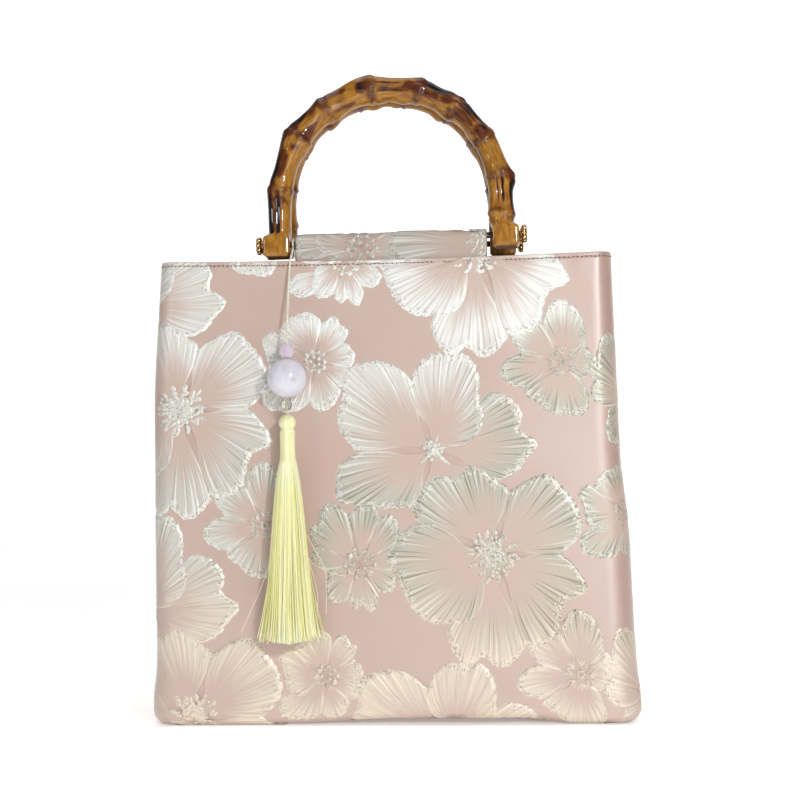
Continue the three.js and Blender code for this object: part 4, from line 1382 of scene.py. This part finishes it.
tassel = {
    "head": 4.4, "neck": 4.0, "neckLength": 13.5, "skirt": 96.3, "strands": 640, "steps": 15, "strand": 0.3,
    "hemCurve": 0.035, "loose": 34, "flare": (0.8, 4.6), "packed": (0.45, 1.0), "fibre": 0.12, "core": 0.8,
    "at": [0, 0.03, 0.08, 0.22, 0.45, 0.78, 0.93, 1],
    "halfWidth": [3.5, 4.2, 5.2, 7.0, 9.0, 12.0, 13.9, 14.9],
    "halfDepth": [3.5, 4.1, 4.6, 5.3, 6.2, 7.2, 7.5, 7.6],
    "locks": 64,
    # single fibres that stand off the skirt: places to the side and down from its top
    "fibres": [
        [(-9, 55), (-13, 66), (-18, 77), (-24, 90)],
        [(7.5, 36), (13, 46), (19, 57), (20, 68), (19.8, 81)],
        [(10, 52), (15, 56.5), (20, 59), (25, 61), (30, 62)],
        [(9, 48), (13, 60), (15.5, 72), (15, 84)],
    ],
}


def silkMaterial(name, low, high, **finish):
    material, tree, shader = newMaterial(name, **finish)
    tone = markOf(tree, "tone")
    colour = mixColour(tree, tone, paint(*low), paint(*high))
    tree.links.new(colour, shader.inputs["Base Color"])
    return material


silk = silkMaterial("pale_silk", (230, 223, 112), (246, 245, 208), Roughness=0.3, Sheen_Weight=0.25,
                    Sheen_Roughness=0.3)
wrappedSilk = silkMaterial("wrapped_silk", (224, 218, 126), (252, 251, 220), Roughness=0.28, Coat_Weight=0.7,
                           Coat_Roughness=0.16)


def tasselHead():
    head, neck = tassel["head"], tassel["neck"]
    start = math.asin(0.8 * neck / head)
    turn = np.linspace(math.pi, start, 24)
    ball = np.stack([head * np.sin(turn), -head * (1 + np.cos(turn))], -1)
    neckFoot = 2 * head + tassel["neckLength"]
    down = np.linspace(2 * head + 0.4, neckFoot + 3, 26)
    wrap = np.stack([neck * (0.97 + 0.06 * np.clip((down - neckFoot + 4) / 6, 0, 1)), -down], -1)
    profile = np.concatenate([ball, wrap])[::-1]
    sides = 72
    ring = np.arange(sides) * tau / sides
    ply = 1 + 0.03 * np.sin(ring * 24 + np.linspace(0, 2, len(profile))[:, None])
    r = profile[:, :1] * ply
    points = np.stack([r * np.cos(ring), r * np.sin(ring), np.broadcast_to(profile[:, 1:], r.shape)], -1)
    tone = 0.5 + 0.32 * np.sin(ring * 24 + 1)[None] + 0.18 * np.sin(ring * 7)[None] + 0 * r
    grid = {"points": points, "wrap": True, "values": {"tone": tone}}
    piece = joinGrids("tassel_head", [grid], wrappedSilk)
    piece.data.transform(charmPlace(tasselTop))
    return piece


def tasselSkirt():
    waist = 2 * tassel["head"] + tassel["neckLength"] - 1
    share = np.linspace(0, 1, tassel["steps"])
    halfWidth = smoothLine(share, tassel["at"], tassel["halfWidth"])
    halfDepth = smoothLine(share, tassel["at"], tassel["halfDepth"])
    sides = 4
    ring = np.arange(sides) * tau / sides
    grids = []
    locks = tassel["locks"]
    lockTurn = np.arange(locks) * tau / locks + rng.normal(0, 0.04, locks)
    lockBow, lockTone = rng.normal(0, 0.35, locks), rng.uniform(0.15, 0.85, locks)
    # the skirt is painted lighter at its top, a painted highlight, and is lighter at the tips
    tip = np.clip((share - 0.9) / 0.1, 0, 1) * 0.35 + np.clip((0.2 - share) / 0.2, 0, 1) * 0.5
    for k in range(tassel["strands"]):
        lock = k % locks
        turn = lockTurn[lock] + rng.normal(0, 0.045)
        out = math.sqrt(rng.uniform(*tassel["packed"])) * 0.97
        length = tassel["skirt"] * (1 - abs(rng.normal(0, 0.012)) - tassel["hemCurve"] * math.cos(turn) ** 2)
        stray = rng.normal(0, 0.5) * share ** 2
        if k < tassel["loose"]:
            # loose ends that flare at both lower sides
            turn = math.pi * (k % 2) + rng.normal(0, 0.35)
            flare = rng.uniform(*tassel["flare"]) * np.clip((share - 0.55) / 0.45, 0, 1) ** 1.4
            stray = math.cos(turn) * flare
        x = out * halfWidth * np.cos(turn) + stray + lockBow[lock] * np.sin(share * math.pi)
        y = out * halfDepth * np.sin(turn) + 0.4 * stray
        z = -waist - share * length
        thick = tassel["strand"] * (1.15 - 0.3 * share) * rng.uniform(0.8, 1.2)
        thick = thick[:, None]
        points = np.stack([x[:, None] + thick * np.cos(ring), y[:, None] + thick * np.sin(ring),
                           z[:, None] + 0 * ring], -1)[::-1]
        tone = np.clip(lockTone[lock] + rng.normal(0, 0.12) + tip[::-1], 0, 1)[:, None]
        grids.append({"points": points, "wrap": True, "values": {"tone": tone}})
    for fibre in tassel["fibres"]:
        across, down = np.array(fibre, float).T
        way = np.linspace(down[0], down[-1], 22)
        path = np.stack([smoothLine(way, down, across), np.full(22, -6.0), -waist - way], -1)
        thread = tubeGrid(path[::-1], tassel["fibre"], 4)
        thread["values"] = {"tone": 0.95}
        grids.append(thread)
    core, packed = np.arange(28) * tau / 28, tassel["core"]
    points = np.stack([packed * halfWidth[:, None] * np.cos(core), packed * halfDepth[:, None] * np.sin(core),
                       -waist - 0.985 * share[:, None] * tassel["skirt"] + 0 * core], -1)[::-1]
    foot = points[:1] * np.array([0.02, 0.02, 1])
    grids.append({"points": np.concatenate([foot, points]), "wrap": True, "values": {"tone": 0.45}})
    piece = joinGrids("tassel_skirt", grids, silk)
    piece.data.transform(charmPlace(tasselTop))
    return piece


tasselBall = finishPiece(tasselHead(), "bag", "silk")
finishPiece(tasselSkirt(), "bag", "silk", "tassel")

# Stage and light
stage = {
    "front": 1.3, "reach": 3.0, "rise": 2.2, "bend": 0.7, "half": 4.0, "white": 0.9,
    # the paper glows evenly, with a painted shadow of weaker glow under the bag: its depth and half width
    "under": (-0.038, 0.034), "underHalf": (0.12, 0.128), "underGlow": 0.2,
    "floorGlow": [0.49, 0.53, 0.53, 0.53, 0.53, 0.54], "wallGlow": (0.62, 0.75), "dim": 0.13,
}
lights = {
    "key": {"place": (0.75, -1.3, 0.75), "aim": (0, 0, 0.15), "size": (0.1, 0.1), "power": 10.7},
    "shine": {"place": (0.38, -1.15, 0.18), "aim": (0.05, 0, 0.12), "size": (0.22, 0.6), "power": 2.7,
              "colour": (0.85, 0.93, 1.0)},
    "front": {"place": (-0.2, -1.5, 1.1), "aim": (0, 0, 0.15), "size": (1.2, 0.6), "power": 0.7},
    "fill": {"place": (-1.3, -1.2, 0.6), "aim": (0, 0, 0.15), "size": (0.3, 0.3), "power": 2.8},
    "top": {"place": (0, 0.1, 1.6), "aim": (0, 0, 0.1), "size": (1.4, 1.4), "power": 8},
}


def addStage():
    # a white floor that bends up into a backdrop
    turn = np.linspace(0, math.pi / 2, 13)
    bend = stage["bend"]
    near, far = stage["under"]
    floor = np.array([[y, 0.0] for y in (-stage["front"], near - 0.006, near, far, far + 0.03, 0.6)])
    curve = np.stack([stage["reach"] - bend + bend * np.sin(turn), bend * (1 - np.cos(turn))], -1)
    wall = np.array([[stage["reach"], stage["rise"]]])
    section = np.concatenate([floor, curve, wall]) / mm
    half = np.array([*stage["underHalf"], stage["half"]])
    x = np.concatenate([-half[::-1], half]) / mm
    shape = (len(section), len(x))
    points = np.stack([np.broadcast_to(x, shape), np.broadcast_to(section[:, :1], shape),
                       np.broadcast_to(section[:, 1:], shape) - 0.3], -1)
    material, tree, shader = newMaterial("white_paper", Roughness=0.9)
    shader.inputs["Base Color"].default_value = (stage["white"],) * 3 + (1.0,)
    shader.inputs["Emission Color"].default_value = (1, 1, 1, 1)
    tree.links.new(markOf(tree, "glow"), shader.inputs["Emission Strength"])
    wallGlow = np.linspace(*stage["wallGlow"], len(turn))
    lit = np.concatenate([stage["floorGlow"], wallGlow, wallGlow[-1:]])[:, None] + 0 * x
    # painted shadow: the glow is weaker under the bag
    lit[2:4, 2:4] = stage["underGlow"]
    paper = joinGrids("paper_sweep", [{"points": points, "values": {"glow": lit}}], material)


def addLight(name, place, aim, size, power, colour=(1, 1, 1)):
    data = bpy.data.lights.new(name, "AREA")
    data.shape = "RECTANGLE"
    data.size, data.size_y = size
    data.energy = power
    data.color = colour
    lamp = bpy.data.objects.new(name, data)
    bpy.context.scene.collection.objects.link(lamp)
    lamp.location = place
    lamp.rotation_mode = "QUATERNION"
    lamp.rotation_quaternion = (Vector(aim) - Vector(place)).to_track_quat("-Z", "Y")


addStage()
for lightName, look in lights.items():
    addLight(lightName, **look)
world = bpy.data.worlds.new("studio")
bpy.context.scene.world = world
world.use_nodes = True
world.node_tree.nodes["Background"].inputs["Color"].default_value = (1, 1, 1, 1)
# the eye sees white all round, while the light from there is dim
seen = addNode(world.node_tree, "ShaderNodeLightPath").outputs["Is Camera Ray"]
strength = fade(world.node_tree, seen, 0.0, 1.0, stage["dim"], 1.0)
world.node_tree.links.new(strength, world.node_tree.nodes["Background"].inputs["Strength"])
bpy.context.scene.view_settings.view_transform = "Standard"
print("stage and light done")
